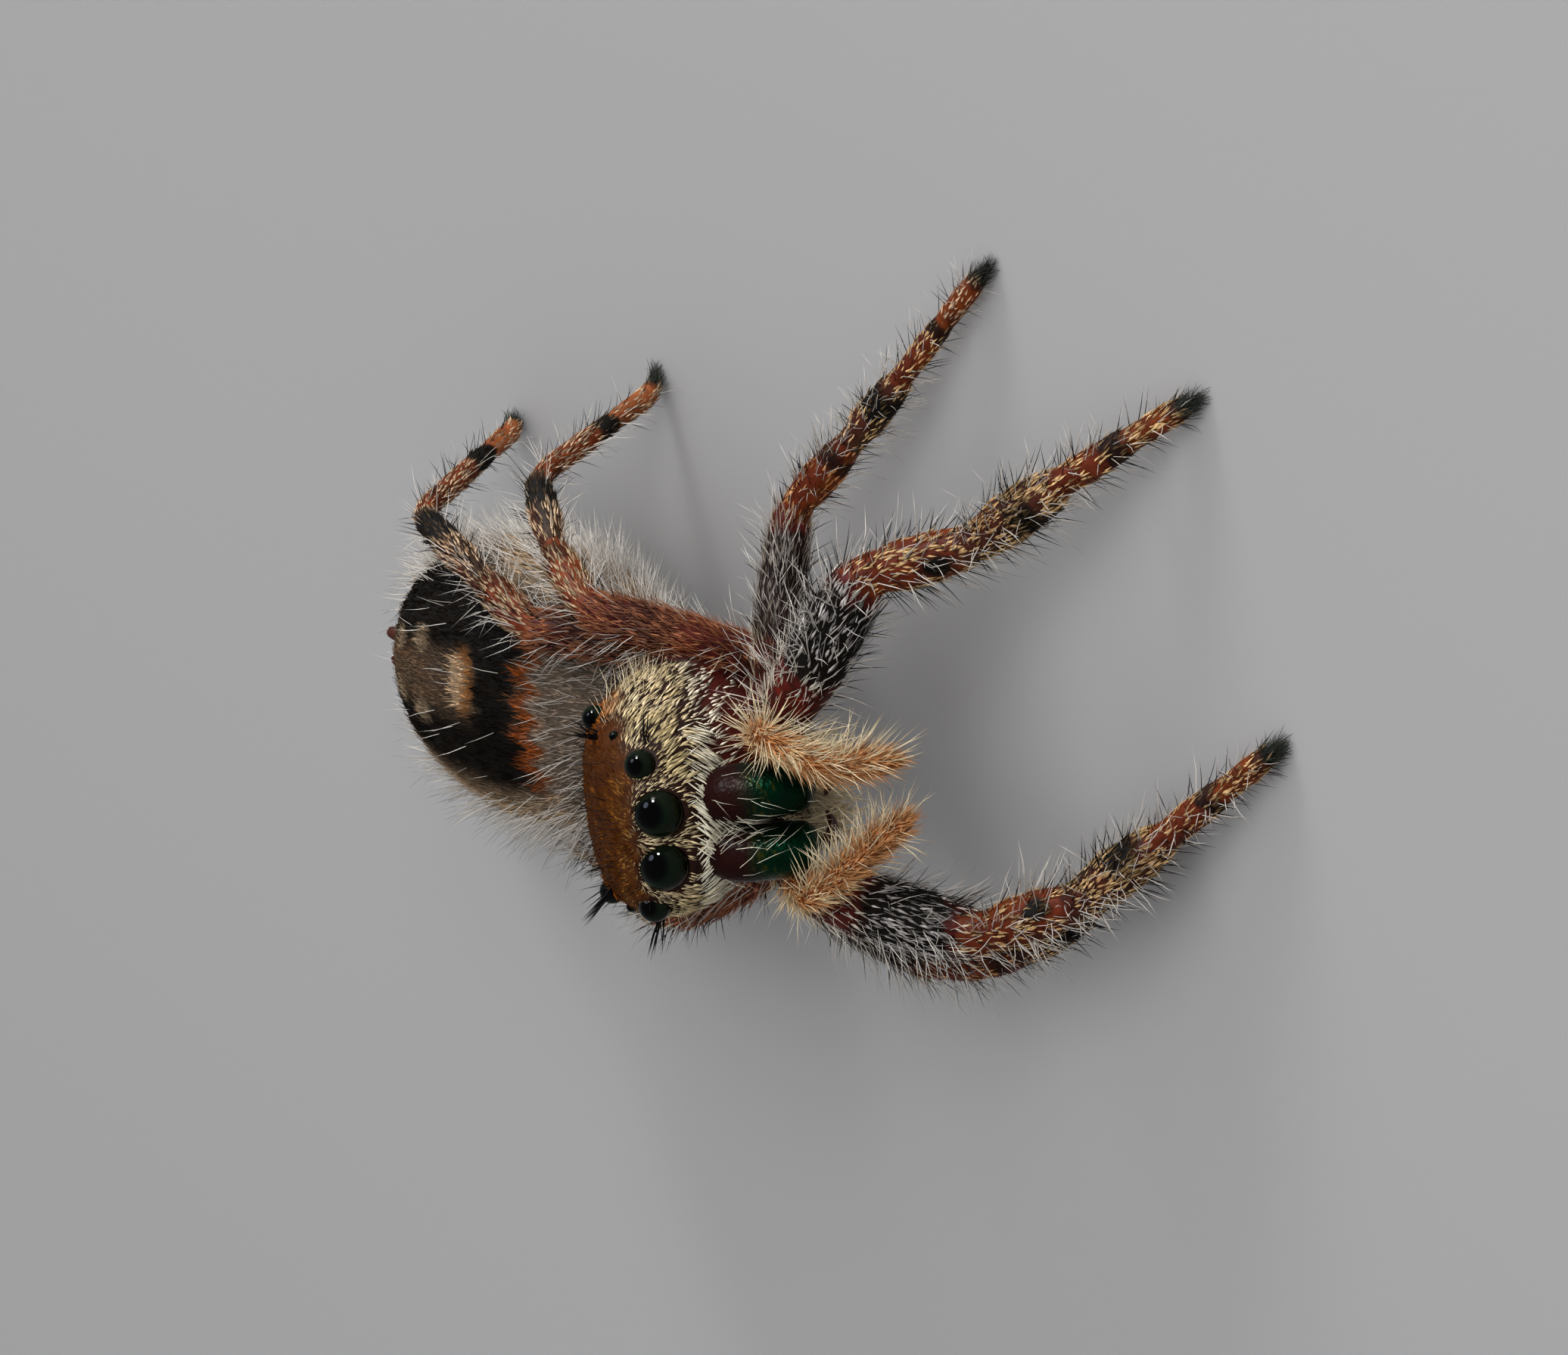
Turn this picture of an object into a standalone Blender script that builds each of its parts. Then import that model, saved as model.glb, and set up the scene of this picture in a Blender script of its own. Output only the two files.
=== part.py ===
"""A jumping spider at life size, rearing its front, as one still model of separate body parts.

World frame: metres, the spider faces -Y, its left side is +X, and its feet stand on z = 0.
Body frame: the origin is at the middle of the carapace's margin, with the same axes before the
body is pitched up.  Sizes in the tables are in millimetres.
"""
import math

import bmesh
import bpy
from mathutils import Matrix, Vector

MM = 0.001
GAP = 0.05                        # clear gap between two neighbouring parts
END_BULGE = 0.05                  # how far a closed end stands out past its last ring

# Stance of the front body
BODY_HEIGHT = 3.4                 # carapace margin above the floor
BODY_PITCH = math.radians(31.5)   # front raised
BODY_ROLL = math.radians(3.5)     # left side raised

# Front body: place along the body, half width, top, underside and height of the widest point
CARAPACE = (
    (-3.06, 0.80, 1.70, 0.66, 1.22),
    (-2.97, 1.12, 1.86, 0.50, 1.22),
    (-2.76, 1.38, 2.00, 0.25, 1.20),
    (-2.40, 1.62, 2.16, -0.15, 1.15),
    (-1.90, 1.80, 2.30, -0.60, 1.00),
    (-1.20, 1.98, 2.40, -1.00, 0.80),
    (-0.50, 2.08, 2.38, -1.18, 0.60),
    (0.20, 2.06, 2.14, -1.22, 0.38),
    (0.85, 1.88, 1.70, -1.18, 0.15),
    (1.40, 1.55, 1.18, -1.05, 0.00),
    (1.80, 1.12, 0.74, -0.85, -0.10),
    (2.08, 0.70, 0.38, -0.62, -0.15),
    (2.20, 0.35, 0.14, -0.42, -0.18),
)
CARAPACE_SIDES = 24
CARAPACE_SQUARE = (3.0, 2.4)      # how boxy the upper outline is, at the face and at the rear
UNDERSIDE_SQUARE = 1.75

# Eyes: distance from the middle, place along the body, height and radius
EYES = {
    "eye_front_middle": (0.47, -2.90, 1.31, 0.43),
    "eye_front_side": (1.26, -2.68, 1.52, 0.27),
    "eye_small": (1.53, -1.85, 1.84, 0.09),
    "eye_rear": (1.56, -0.90, 2.06, 0.22),
}

# Jaws: height, distance from the middle, place along the body, half width and half depth
CHELICERA = (
    (0.56, 0.46, -2.50, 0.36, 0.36),
    (0.25, 0.52, -2.60, 0.47, 0.56),
    (-0.25, 0.54, -2.66, 0.50, 0.63),
    (-0.75, 0.54, -2.68, 0.48, 0.60),
    (-1.15, 0.52, -2.66, 0.40, 0.48),
    (-1.38, 0.50, -2.62, 0.26, 0.32),
)
JAW_SIDES = 14
FANG = ((0.62, -2.45, -1.46), (0.52, -2.38, -1.60), (0.34, -2.28, -1.64), (0.14, -2.18, -1.56))
FANG_RADII = (0.13, 0.12, 0.08, 0.03)
FANG_SIDES = 8
FANG_ROUNDING = 0.05
MAXILLA_CENTRE = (0.50, -1.42, -1.22)
MAXILLA_RADII = (0.42, 0.50, 0.40)

# Palps: trochanter, knee, two more joints and the tip, in the body frame
PALPS = {
    "palp_left": ((1.08, -2.12, -0.72), (1.64, -2.95, -0.46), (1.34, -3.28, -0.98),
                  (1.10, -3.48, -1.42), (1.18, -3.88, -2.72)),
    "palp_right": ((-1.06, -2.12, -0.86), (-1.42, -2.92, -0.92), (-1.04, -3.22, -1.42),
                   (-0.64, -3.48, -1.80), (0.24, -3.98, -2.78)),
}
PALP_RADII = (0.24, 0.27, 0.29, 0.29, 0.31)
PALP_ROUNDING = 0.22
TUBE_SIDES = 10                   # palps, pedicel and spinnerets

# Legs: where the coxa leaves the breastplate and where the trochanter is, for the left side
COXA_BASE = {1: (0.85, -1.12, -0.95), 2: (0.85, -0.55, -0.95), 3: (0.85, 0.20, -0.95),
             4: (0.80, 0.90, -0.90)}
TROCHANTER = {1: (1.50, -1.98, -1.00), 2: (1.76, -0.84, -0.98), 3: (1.75, 0.25, -0.98),
              4: (1.62, 1.30, -0.95)}
# Lengths of femur, patella, tibia, metatarsus and tarsus
LEG_LENGTHS = {1: (3.28, 2.12, 2.17, 1.69, 1.20), 2: (2.91, 1.80, 1.75, 1.53, 1.12),
               3: (3.12, 1.53, 1.75, 1.96, 1.12), 4: (3.90, 1.69, 2.45, 2.45, 1.12)}
# Radii of coxa, femur, patella, tibia, metatarsus and tarsus
LEG_RADII = {1: (0.46, 0.62, 0.48, 0.46, 0.32, 0.27), 2: (0.43, 0.47, 0.38, 0.35, 0.26, 0.25),
             3: (0.46, 0.48, 0.38, 0.33, 0.26, 0.25), 4: (0.48, 0.50, 0.38, 0.33, 0.26, 0.25)}
# Turn from straight ahead towards the spider's left, and rise, of femur, patella and tibia,
# then the turn of the foot; degrees in the world frame.  The foot's fall follows from landing.
LEG_POSES = {
    "leg_1_left": ((57, -13), (18, -28), (35, -14), 33),
    "leg_2_left": ((99, -25), (47, -17), (47, -12), 48),
    "leg_3_left": ((145, 43), (153, -16), (150, -27), 116),
    "leg_4_left": ((168, 39), (165, -10), (165, -11), 169),
    "leg_1_right": ((-14, -24), (23, -21), (38, -18), 39),
    "leg_2_right": ((-40, -27), (14, -18), (35, -16), 44),
    "leg_3_right": ((-150, 8), (-165, -14), (-172, -30), -172),
    "leg_4_right": ((-160, 6), (-166, -12), (-172, -23), -182),
}
TUFT_LENGTH = 0.34                # claw tuft that lies on the floor
TUFT_FALL = math.radians(20)
TUFT_RADIUS = 0.20
TUFT_TIP_HEIGHT = 0.11
KNEE_ROUNDING = 0.40
LEG_SIDES = 9

# Abdomen
ABDOMEN_LENGTH = 7.2
ABDOMEN_HALF_WIDTH = 2.70
ABDOMEN_HALF_HEIGHT = 2.00
ABDOMEN_RISE = math.radians(6)
ABDOMEN_TURN = math.radians(2)    # towards the spider's left
PEDICEL_START = (0.0, 2.02, -0.22)
PEDICEL_LENGTH = 0.75
PEDICEL_RADIUS = 0.30
SPINNERETS = {
    "spinneret_upper_left": (0.20, 0.22), "spinneret_upper_right": (-0.20, 0.22),
    "spinneret_lower_left": (0.24, -0.26), "spinneret_lower_right": (-0.24, -0.26),
}
SPINNERET_RADII = (0.20, 0.19, 0.13)
SPINNERET_LENGTH = 0.55
SPINNERET_INSET = 0.25            # how far before the abdomen's end they start

# Colour, roughness and metallic value of each kind of part
FINISHES = {
    "carapace": ((0.36, 0.15, 0.05), 0.60, 0.0), "eye": ((0.004, 0.010, 0.007), 0.04, 0.0),
    "chelicera": ((0.010, 0.070, 0.040), 0.22, 0.6), "fang": ((0.045, 0.010, 0.006), 0.20, 0.0),
    "maxilla": ((0.17, 0.06, 0.03), 0.50, 0.0), "palp": ((0.55, 0.27, 0.11), 0.70, 0.0),
    "leg": ((0.30, 0.10, 0.04), 0.60, 0.0), "pedicel": ((0.16, 0.07, 0.04), 0.55, 0.0),
    "abdomen": ((0.40, 0.33, 0.24), 0.80, 0.0), "spinneret": ((0.20, 0.12, 0.07), 0.60, 0.0),
}


def clear_scene():
    for old in list(bpy.data.objects):
        bpy.data.objects.remove(old)


def body_matrix():
    """Places the body frame in the world."""
    turn = Matrix.Rotation(BODY_ROLL, 4, "Y") @ Matrix.Rotation(-BODY_PITCH, 4, "X")
    return Matrix.Translation((0, 0, BODY_HEIGHT)) @ turn


BODY = body_matrix()


def mirrored(point, side):
    return Vector((point[0] * side, point[1], point[2]))


def heading(turn, rise):
    """Unit vector turned from -Y towards +X and then raised."""
    return Vector((math.sin(turn) * math.cos(rise), -math.cos(turn) * math.cos(rise), math.sin(rise)))


def material_for(name):
    kind = next(kind for kind in FINISHES if name.startswith(kind))
    colour, roughness, metallic = FINISHES[kind]
    material = bpy.data.materials.new(name)
    material.use_nodes = True
    shader = material.node_tree.nodes["Principled BSDF"]
    shader.inputs["Base Color"].default_value = (*colour, 1.0)
    shader.inputs["Roughness"].default_value = roughness
    shader.inputs["Metallic"].default_value = metallic
    return material


def stand_on_floor(shape):
    """Slices off what reaches below the floor, which leaves a small flat to stand on."""
    everything = list(shape.verts) + list(shape.edges) + list(shape.faces)
    cut = bmesh.ops.bisect_plane(shape, geom=everything, dist=1e-8, plane_co=(0, 0, 0),
                                 plane_no=(0, 0, 1), clear_inner=True)
    rim = [part for part in cut["geom_cut"] if isinstance(part, bmesh.types.BMEdge)]
    if rim:
        bmesh.ops.edgeloop_fill(shape, edges=rim)


def solid(name, rings, ends, cutter=False):
    """One closed object through rings of points in millimetres, with a point at each end."""
    shape = bmesh.new()
    rows = [[shape.verts.new(point * MM) for point in ring] for ring in rings]
    count = len(rows[0])
    for near, far in zip(rows, rows[1:]):
        for i in range(count):
            j = (i + 1) % count
            shape.faces.new((near[i], near[j], far[j], far[i]))
    for row, point in ((rows[0], ends[0]), (rows[-1], ends[1])):
        tip = shape.verts.new(point * MM)
        for i in range(count):
            shape.faces.new((row[i], row[(i + 1) % count], tip))
    stand_on_floor(shape)
    bmesh.ops.triangulate(shape, faces=list(shape.faces))
    bmesh.ops.recalc_face_normals(shape, faces=list(shape.faces))
    mesh = bpy.data.meshes.new(name)
    shape.to_mesh(mesh)
    shape.free()
    mesh.shade_smooth()
    thing = bpy.data.objects.new(name, mesh)
    bpy.context.scene.collection.objects.link(thing)
    if cutter:
        thing.hide_render = True
        thing.display_type = "WIRE"
    else:
        mesh.materials.append(material_for(name))
    return thing


def trim(thing, *cutters):
    """Cuts a part back to the clear gap round its neighbours."""
    for cutter in cutters:
        cut = thing.modifiers.new("trim", "BOOLEAN")
        cut.operation = "DIFFERENCE"
        cut.solver = "EXACT"
        cut.object = cutter


def boxy_ring(half_width, top, bottom, widest, y, squares, count):
    """A section across the body: an arch above its widest height and a flatter one below."""
    points = []
    for i in range(count):
        angle = 2 * math.pi * i / count
        across, rise = math.cos(angle), math.sin(angle)
        square = squares[0] if rise >= 0 else squares[1]
        reach = top - widest if rise >= 0 else widest - bottom
        x = half_width * math.copysign(abs(across) ** (2 / square), across)
        z = widest + reach * math.copysign(abs(rise) ** (2 / square), rise)
        points.append(BODY @ Vector((x, y, z)))
    return points


def front_body(name, grow=0.0, cutter=False):
    first, last = CARAPACE[0], CARAPACE[-1]
    rings = []
    for y, half_width, top, bottom, widest in CARAPACE:
        share = (y - first[0]) / (last[0] - first[0])
        square = CARAPACE_SQUARE[0] + (CARAPACE_SQUARE[1] - CARAPACE_SQUARE[0]) * share
        y += grow * (2 * share - 1)
        rings.append(boxy_ring(half_width + grow, top + grow, bottom - grow, widest, y,
                               (square, UNDERSIDE_SQUARE), CARAPACE_SIDES))
    ends = [BODY @ Vector((0, row[0] + shift, row[4])) for row, shift in
            ((first, -END_BULGE - grow), (last, END_BULGE + grow))]
    return solid(name, rings, ends, cutter)


def ball(name, centre, radii, rows=8, count=14, cutter=False):
    """A closed ellipsoid; its poles lie along the body."""
    rings = []
    for row in range(1, rows):
        bend = math.pi * row / rows
        ring = []
        for i in range(count):
            angle = 2 * math.pi * i / count
            offset = Vector((radii[0] * math.sin(bend) * math.cos(angle),
                             -radii[1] * math.cos(bend),
                             radii[2] * math.sin(bend) * math.sin(angle)))
            ring.append(BODY @ (centre + offset))
        rings.append(ring)
    ends = [BODY @ (centre + Vector((0, side * radii[1], 0))) for side in (-1, 1)]
    return solid(name, rings, ends, cutter)


def chelicera(name, side, grow=0.0, cutter=False):
    rings = []
    for z, x, y, half_width, half_depth in CHELICERA:
        ring = []
        for i in range(JAW_SIDES):
            angle = 2 * math.pi * i / JAW_SIDES
            ring.append(BODY @ Vector((side * x + (half_width + grow) * math.cos(angle),
                                       y + (half_depth + grow) * math.sin(angle), z)))
        rings.append(ring)
    ends = [BODY @ Vector((side * row[1], row[2], row[0] + shift)) for row, shift in
            ((CHELICERA[0], END_BULGE + grow), (CHELICERA[-1], -END_BULGE - grow))]
    return solid(name, rings, ends, cutter)


def rounded_place(joints, segment, share, rounding):
    """A point and direction on a path of straight segments with rounded corners."""
    start, end = joints[segment], joints[segment + 1]
    length = (end - start).length
    corner = None
    if (1 - share) * length < rounding and segment + 2 < len(joints):
        corner, t = segment + 1, 0.5 - 0.5 * (1 - share) * length / rounding
    elif share * length < rounding and segment > 0:
        corner, t = segment, 0.5 + 0.5 * share * length / rounding
    if corner is None:
        return start.lerp(end, share), (end - start).normalized()
    middle = joints[corner]
    before = middle + (joints[corner - 1] - middle).normalized() * rounding
    after = middle + (joints[corner + 1] - middle).normalized() * rounding
    point = before.lerp(middle, t).lerp(middle.lerp(after, t), t)
    return point, (middle.lerp(after, t) - before.lerp(middle, t)).normalized()


def limb(name, joints, stations, count, rounding, grow=0.0, cutter=False):
    """A tube along joints; stations give segment, share of its length and radius."""
    rings = []
    across = None
    for segment, share, radius in stations:
        point, along = rounded_place(joints, segment, share, rounding)
        if across is None:
            across = along.orthogonal()
        across = (across - along * across.dot(along)).normalized()
        up = along.cross(across)
        ring = []
        for i in range(count):
            angle = 2 * math.pi * i / count
            spoke = across * math.cos(angle) + up * math.sin(angle)
            ring.append(point + spoke * (radius + grow))
        rings.append(ring)
    first, _ = rounded_place(joints, stations[0][0], stations[0][1], rounding)
    last, along = rounded_place(joints, stations[-1][0], stations[-1][1], rounding)
    return solid(name, rings, (first, last + along * END_BULGE), cutter)


def leg_joints(name):
    """Coxa, trochanter, knee and the joints below it, down to the claw tuft on the floor."""
    number = int(name[4])
    side = 1 if name.endswith("left") else -1
    *upper, foot_turn = LEG_POSES[name]
    joints = [BODY @ mirrored(COXA_BASE[number], side), BODY @ mirrored(TROCHANTER[number], side)]
    lengths = LEG_LENGTHS[number]
    for (turn, rise), length in zip(upper, lengths):
        joints.append(joints[-1] + heading(math.radians(turn), math.radians(rise)) * length)
    foot_turn = math.radians(foot_turn)
    tuft_drop = TUFT_LENGTH * math.sin(TUFT_FALL)
    landing = TUFT_TIP_HEIGHT + tuft_drop
    fall = math.asin((landing - joints[-1].z) / (lengths[3] + lengths[4]))
    for length in lengths[3:]:
        joints.append(joints[-1] + heading(foot_turn, fall) * length)
    joints.append(joints[-1] + heading(foot_turn, -TUFT_FALL) * TUFT_LENGTH)
    return joints


def leg_stations(number):
    """Swellings of the segments, each narrower at its joints."""
    coxa, femur, patella, tibia, metatarsus, tarsus = LEG_RADII[number]
    stations = [(0, 0.1, coxa * 0.9), (0, 0.55, coxa), (0, 0.92, coxa * 0.9)]
    swellings = ((1, femur, 0.13, 0.95), (2, patella, 0.14, 0.93), (3, tibia, 0.12, 0.95))
    for segment, radius, near, far in swellings:
        stations += [(segment, near, radius * 0.84), (segment, 0.36, radius),
                     (segment, 0.68, radius * 0.98), (segment, far, radius * 0.84)]
    stations += [(4, 0.10, metatarsus * 0.94), (4, 0.50, metatarsus), (4, 0.94, metatarsus * 0.95),
                 (5, 0.15, tarsus * 0.94), (5, 0.60, tarsus), (5, 0.96, tarsus * 0.92),
                 (6, 0.50, TUFT_RADIUS * 1.10), (6, 1.00, TUFT_RADIUS * 0.85)]
    return stations


def leg_tube(name, grow=0.0, cutter=False):
    leg = name.removeprefix("cut_").split("_for_")[0]
    return limb(name, leg_joints(leg), leg_stations(int(leg[4])), LEG_SIDES, KNEE_ROUNDING,
                grow, cutter)


def palp_stations():
    trochanter, femur, patella, tibia, tarsus = PALP_RADII
    return [(0, 0.0, trochanter), (0, 0.35, femur), (0, 0.80, femur), (1, 0.15, patella * 0.9),
            (1, 0.60, patella), (2, 0.10, tibia * 0.92), (2, 0.60, tibia), (3, 0.08, tarsus * 0.92),
            (3, 0.45, tarsus), (3, 0.80, tarsus * 0.86), (3, 0.97, tarsus * 0.50)]


def abdomen_frame():
    """Start of the abdomen, and its long, side and upward directions in the world."""
    along = heading(math.pi - ABDOMEN_TURN, ABDOMEN_RISE)
    across = Vector((0, 0, 1)).cross(-along).normalized()
    start = BODY @ Vector(PEDICEL_START)
    start += along * (PEDICEL_LENGTH * 0.6)
    return start, along, across, (-along).cross(across)


def abdomen(name, grow=0.0, cutter=False, rows=12, count=22):
    """An egg with a blunt front and a narrower rear."""
    start, along, across, up = abdomen_frame()
    rings = []
    for row in range(1, rows):
        bend = math.pi * row / rows
        place = start + along * (ABDOMEN_LENGTH * (1 - math.cos(bend)) / 2)
        swell = math.sin(bend) ** 0.92 * (1 - 0.04 * math.cos(bend))
        ring = []
        for i in range(count):
            angle = 2 * math.pi * i / count
            ring.append(place + across * ((ABDOMEN_HALF_WIDTH * swell + grow) * math.cos(angle))
                        + up * ((ABDOMEN_HALF_HEIGHT * swell + grow) * math.sin(angle)))
        rings.append(ring)
    ends = (start - along * grow, start + along * (ABDOMEN_LENGTH + grow))
    return solid(name, rings, ends, cutter)


def pedicel(name):
    start = BODY @ Vector(PEDICEL_START)
    _, along, _, _ = abdomen_frame()
    joints = [start - along * 0.3, start + along * PEDICEL_LENGTH]
    stations = [(0, share, PEDICEL_RADIUS) for share in (0.0, 0.35, 0.7, 1.0)]
    return limb(name, joints, stations, TUBE_SIDES, 0.0)


def spinneret(name, offset):
    start, along, across, up = abdomen_frame()
    root = start + along * (ABDOMEN_LENGTH - SPINNERET_INSET) + across * offset[0] + up * offset[1]
    tip = root + (along + across * offset[0] * 0.6 + up * offset[1] * 0.4) * SPINNERET_LENGTH
    stations = [(0, share, radius) for share, radius in zip((0.0, 0.6, 1.0), SPINNERET_RADII)]
    return limb(name, [root, tip], stations, TUBE_SIDES, 0.0)


def build_head():
    """Carapace with its eye sockets, the eyes and the mouth parts."""
    carapace = front_body("carapace")
    clear_of_body = front_body("cut_front_body", GAP, cutter=True)
    for kind, (x, y, z, radius) in EYES.items():
        for side, word in ((1, "left"), (-1, "right")):
            centre = mirrored((x, y, z), side)
            rows = round(4 + 12 * radius)
            count = 2 * rows - 2
            ball(f"{kind}_{word}", centre, (radius,) * 3, rows, count)
            socket = (radius + GAP,) * 3
            trim(carapace, ball(f"cut_{kind}_{word}", centre, socket, rows, count, cutter=True))
    for side, word in ((1, "left"), (-1, "right")):
        trim(chelicera(f"chelicera_{word}", side), clear_of_body)
        clear_of_jaw = chelicera(f"cut_chelicera_{word}", side, GAP, cutter=True)
        joints = [BODY @ mirrored(point, side) for point in FANG]
        stations = [(i, 0.0, radius) for i, radius in enumerate(FANG_RADII[:-1])]
        stations.append((2, 1.0, FANG_RADII[-1]))
        trim(limb(f"fang_{word}", joints, stations, FANG_SIDES, FANG_ROUNDING), clear_of_jaw)
        clear_of_leg = leg_tube(f"cut_leg_1_{word}", GAP, cutter=True)
        trim(ball(f"maxilla_{word}", mirrored(MAXILLA_CENTRE, side), MAXILLA_RADII),
             clear_of_body, clear_of_jaw, clear_of_leg)
        palp_joints = [BODY @ Vector(point) for point in PALPS[f"palp_{word}"]]
        palp = limb(f"palp_{word}", palp_joints, palp_stations(), TUBE_SIDES, PALP_ROUNDING)
        trim(palp, clear_of_body, clear_of_jaw, clear_of_leg)
    return clear_of_body


def build_legs(clear_of_body):
    for name in LEG_POSES:
        leg = leg_tube(name)
        trim(leg, clear_of_body)
        if name[4] in "24":
            neighbour = name.replace("2", "1").replace("4", "3")
            trim(leg, leg_tube(f"cut_{neighbour}_for_{name}", GAP, cutter=True))


def build_rear(clear_of_body):
    abdomen("abdomen")
    clear_of_abdomen = abdomen("cut_abdomen", GAP, cutter=True)
    trim(pedicel("pedicel"), clear_of_body, clear_of_abdomen)
    for name, offset in SPINNERETS.items():
        trim(spinneret(name, offset), clear_of_abdomen)


def centre_on_floor():
    """Puts the origin under the middle of the spider's box, on the floor."""
    corners = [vertex.co for thing in bpy.data.objects if not thing.hide_render
               for vertex in thing.data.vertices]
    middle = [(min(c[axis] for c in corners) + max(c[axis] for c in corners)) / 2 for axis in (0, 1)]
    for thing in bpy.data.objects:
        thing.location = (-middle[0], -middle[1], 0.0)


def main():
    clear_scene()
    clear_of_body = build_head()
    build_legs(clear_of_body)
    build_rear(clear_of_body)
    centre_on_floor()


main()
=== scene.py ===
"""Looks of a life-size jumping spider: one furred skin, eyes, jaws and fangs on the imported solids."""

import itertools
import math

import bmesh
import bpy
import numpy as np
from mathutils import Matrix, Vector
from mathutils.kdtree import KDTree


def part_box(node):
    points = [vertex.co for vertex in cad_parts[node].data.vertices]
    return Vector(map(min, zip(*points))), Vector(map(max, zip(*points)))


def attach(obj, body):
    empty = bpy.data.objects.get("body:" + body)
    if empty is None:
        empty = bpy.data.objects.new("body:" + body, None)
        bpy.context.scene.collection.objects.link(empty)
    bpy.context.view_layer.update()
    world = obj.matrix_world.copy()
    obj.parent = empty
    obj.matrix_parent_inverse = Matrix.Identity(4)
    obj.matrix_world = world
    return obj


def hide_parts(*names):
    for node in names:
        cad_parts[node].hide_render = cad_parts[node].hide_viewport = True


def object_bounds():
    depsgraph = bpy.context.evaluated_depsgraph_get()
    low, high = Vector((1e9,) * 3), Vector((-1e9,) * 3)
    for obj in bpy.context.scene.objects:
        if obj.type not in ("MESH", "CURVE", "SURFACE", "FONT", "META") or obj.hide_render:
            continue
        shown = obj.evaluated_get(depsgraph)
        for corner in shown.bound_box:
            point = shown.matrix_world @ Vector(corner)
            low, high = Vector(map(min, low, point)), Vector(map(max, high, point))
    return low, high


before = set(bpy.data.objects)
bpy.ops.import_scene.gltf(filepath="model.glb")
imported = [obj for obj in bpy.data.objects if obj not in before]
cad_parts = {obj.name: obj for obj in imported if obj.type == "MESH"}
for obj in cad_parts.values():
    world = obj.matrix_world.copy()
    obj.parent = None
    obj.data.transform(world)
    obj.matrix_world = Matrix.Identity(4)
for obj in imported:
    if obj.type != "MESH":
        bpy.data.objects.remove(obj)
cad_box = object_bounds()

MM = 0.001                       # shapes are worked out in millimetres and scaled at the end
SIDES = ((1, "left"), (-1, "right"))

# ------------------------------------------------------------------------------------------
# Stance and sizes, as the solids have them, in millimetres
# ------------------------------------------------------------------------------------------
BODY_HEIGHT = 3.4
BODY_PITCH = math.radians(31.5)
BODY_ROLL = math.radians(3.5)
# Place along the body, half width, top, underside and height of the widest point
CARAPACE = (
    (-3.06, 0.80, 1.70, 0.66, 1.22), (-2.97, 1.12, 1.86, 0.50, 1.22), (-2.76, 1.38, 2.00, 0.25, 1.20),
    (-2.40, 1.62, 2.16, -0.15, 1.15), (-1.90, 1.80, 2.30, -0.60, 1.00), (-1.20, 1.98, 2.40, -1.00, 0.80),
    (-0.50, 2.08, 2.38, -1.18, 0.60), (0.20, 2.06, 2.14, -1.22, 0.38), (0.85, 1.88, 1.70, -1.18, 0.15),
    (1.40, 1.55, 1.18, -1.05, 0.00), (1.80, 1.12, 0.74, -0.85, -0.10), (2.08, 0.70, 0.38, -0.62, -0.15),
    (2.20, 0.35, 0.14, -0.42, -0.18),
)
CARAPACE_SQUARE = (3.0, 2.4)
UNDERSIDE_SQUARE = 1.75
EYES = {
    "eye_front_middle": (0.47, -2.90, 1.31, 0.43), "eye_front_side": (1.26, -2.68, 1.52, 0.27),
    "eye_small": (1.53, -1.85, 1.84, 0.09), "eye_rear": (1.56, -0.90, 2.06, 0.22),
}
# Jaw rows: height, distance from the middle, place along the body, half width and half depth
CHELICERA = (
    (0.56, 0.46, -2.50, 0.36, 0.36), (0.25, 0.52, -2.60, 0.47, 0.56), (-0.25, 0.54, -2.66, 0.50, 0.63),
    (-0.75, 0.54, -2.68, 0.48, 0.60), (-1.15, 0.52, -2.66, 0.40, 0.48), (-1.38, 0.50, -2.62, 0.26, 0.32),
)
FANG = ((0.62, -2.45, -1.46), (0.52, -2.38, -1.60), (0.34, -2.28, -1.64), (0.14, -2.18, -1.56))
FANG_RADII = (0.13, 0.12, 0.08, 0.03)
MAXILLA_CENTRE = (0.50, -1.42, -1.22)
MAXILLA_RADII = (0.42, 0.50, 0.40)
PALPS = {
    "palp_left": ((1.08, -2.12, -0.72), (1.64, -2.95, -0.46), (1.34, -3.28, -0.98),
                  (1.10, -3.48, -1.42), (1.18, -3.88, -2.72)),
    "palp_right": ((-1.06, -2.12, -0.86), (-1.42, -2.92, -0.92), (-1.04, -3.22, -1.42),
                   (-0.64, -3.48, -1.80), (0.24, -3.98, -2.78)),
}
PALP_RADII = (0.24, 0.27, 0.29, 0.29, 0.31)
PALP_ROUNDING = 0.22
COXA_BASE = {1: (0.85, -1.12, -0.95), 2: (0.85, -0.55, -0.95), 3: (0.85, 0.20, -0.95),
             4: (0.80, 0.90, -0.90)}
TROCHANTER = {1: (1.50, -1.98, -1.00), 2: (1.76, -0.84, -0.98), 3: (1.75, 0.25, -0.98),
              4: (1.62, 1.30, -0.95)}
LEG_LENGTHS = {1: (3.28, 2.12, 2.17, 1.69, 1.20), 2: (2.91, 1.80, 1.75, 1.53, 1.12),
               3: (3.12, 1.53, 1.75, 1.96, 1.12), 4: (3.90, 1.69, 2.45, 2.45, 1.12)}
LEG_RADII = {1: (0.46, 0.62, 0.48, 0.46, 0.32, 0.27), 2: (0.43, 0.47, 0.38, 0.35, 0.26, 0.25),
             3: (0.46, 0.48, 0.38, 0.33, 0.26, 0.25), 4: (0.48, 0.50, 0.38, 0.33, 0.26, 0.25)}
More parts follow.
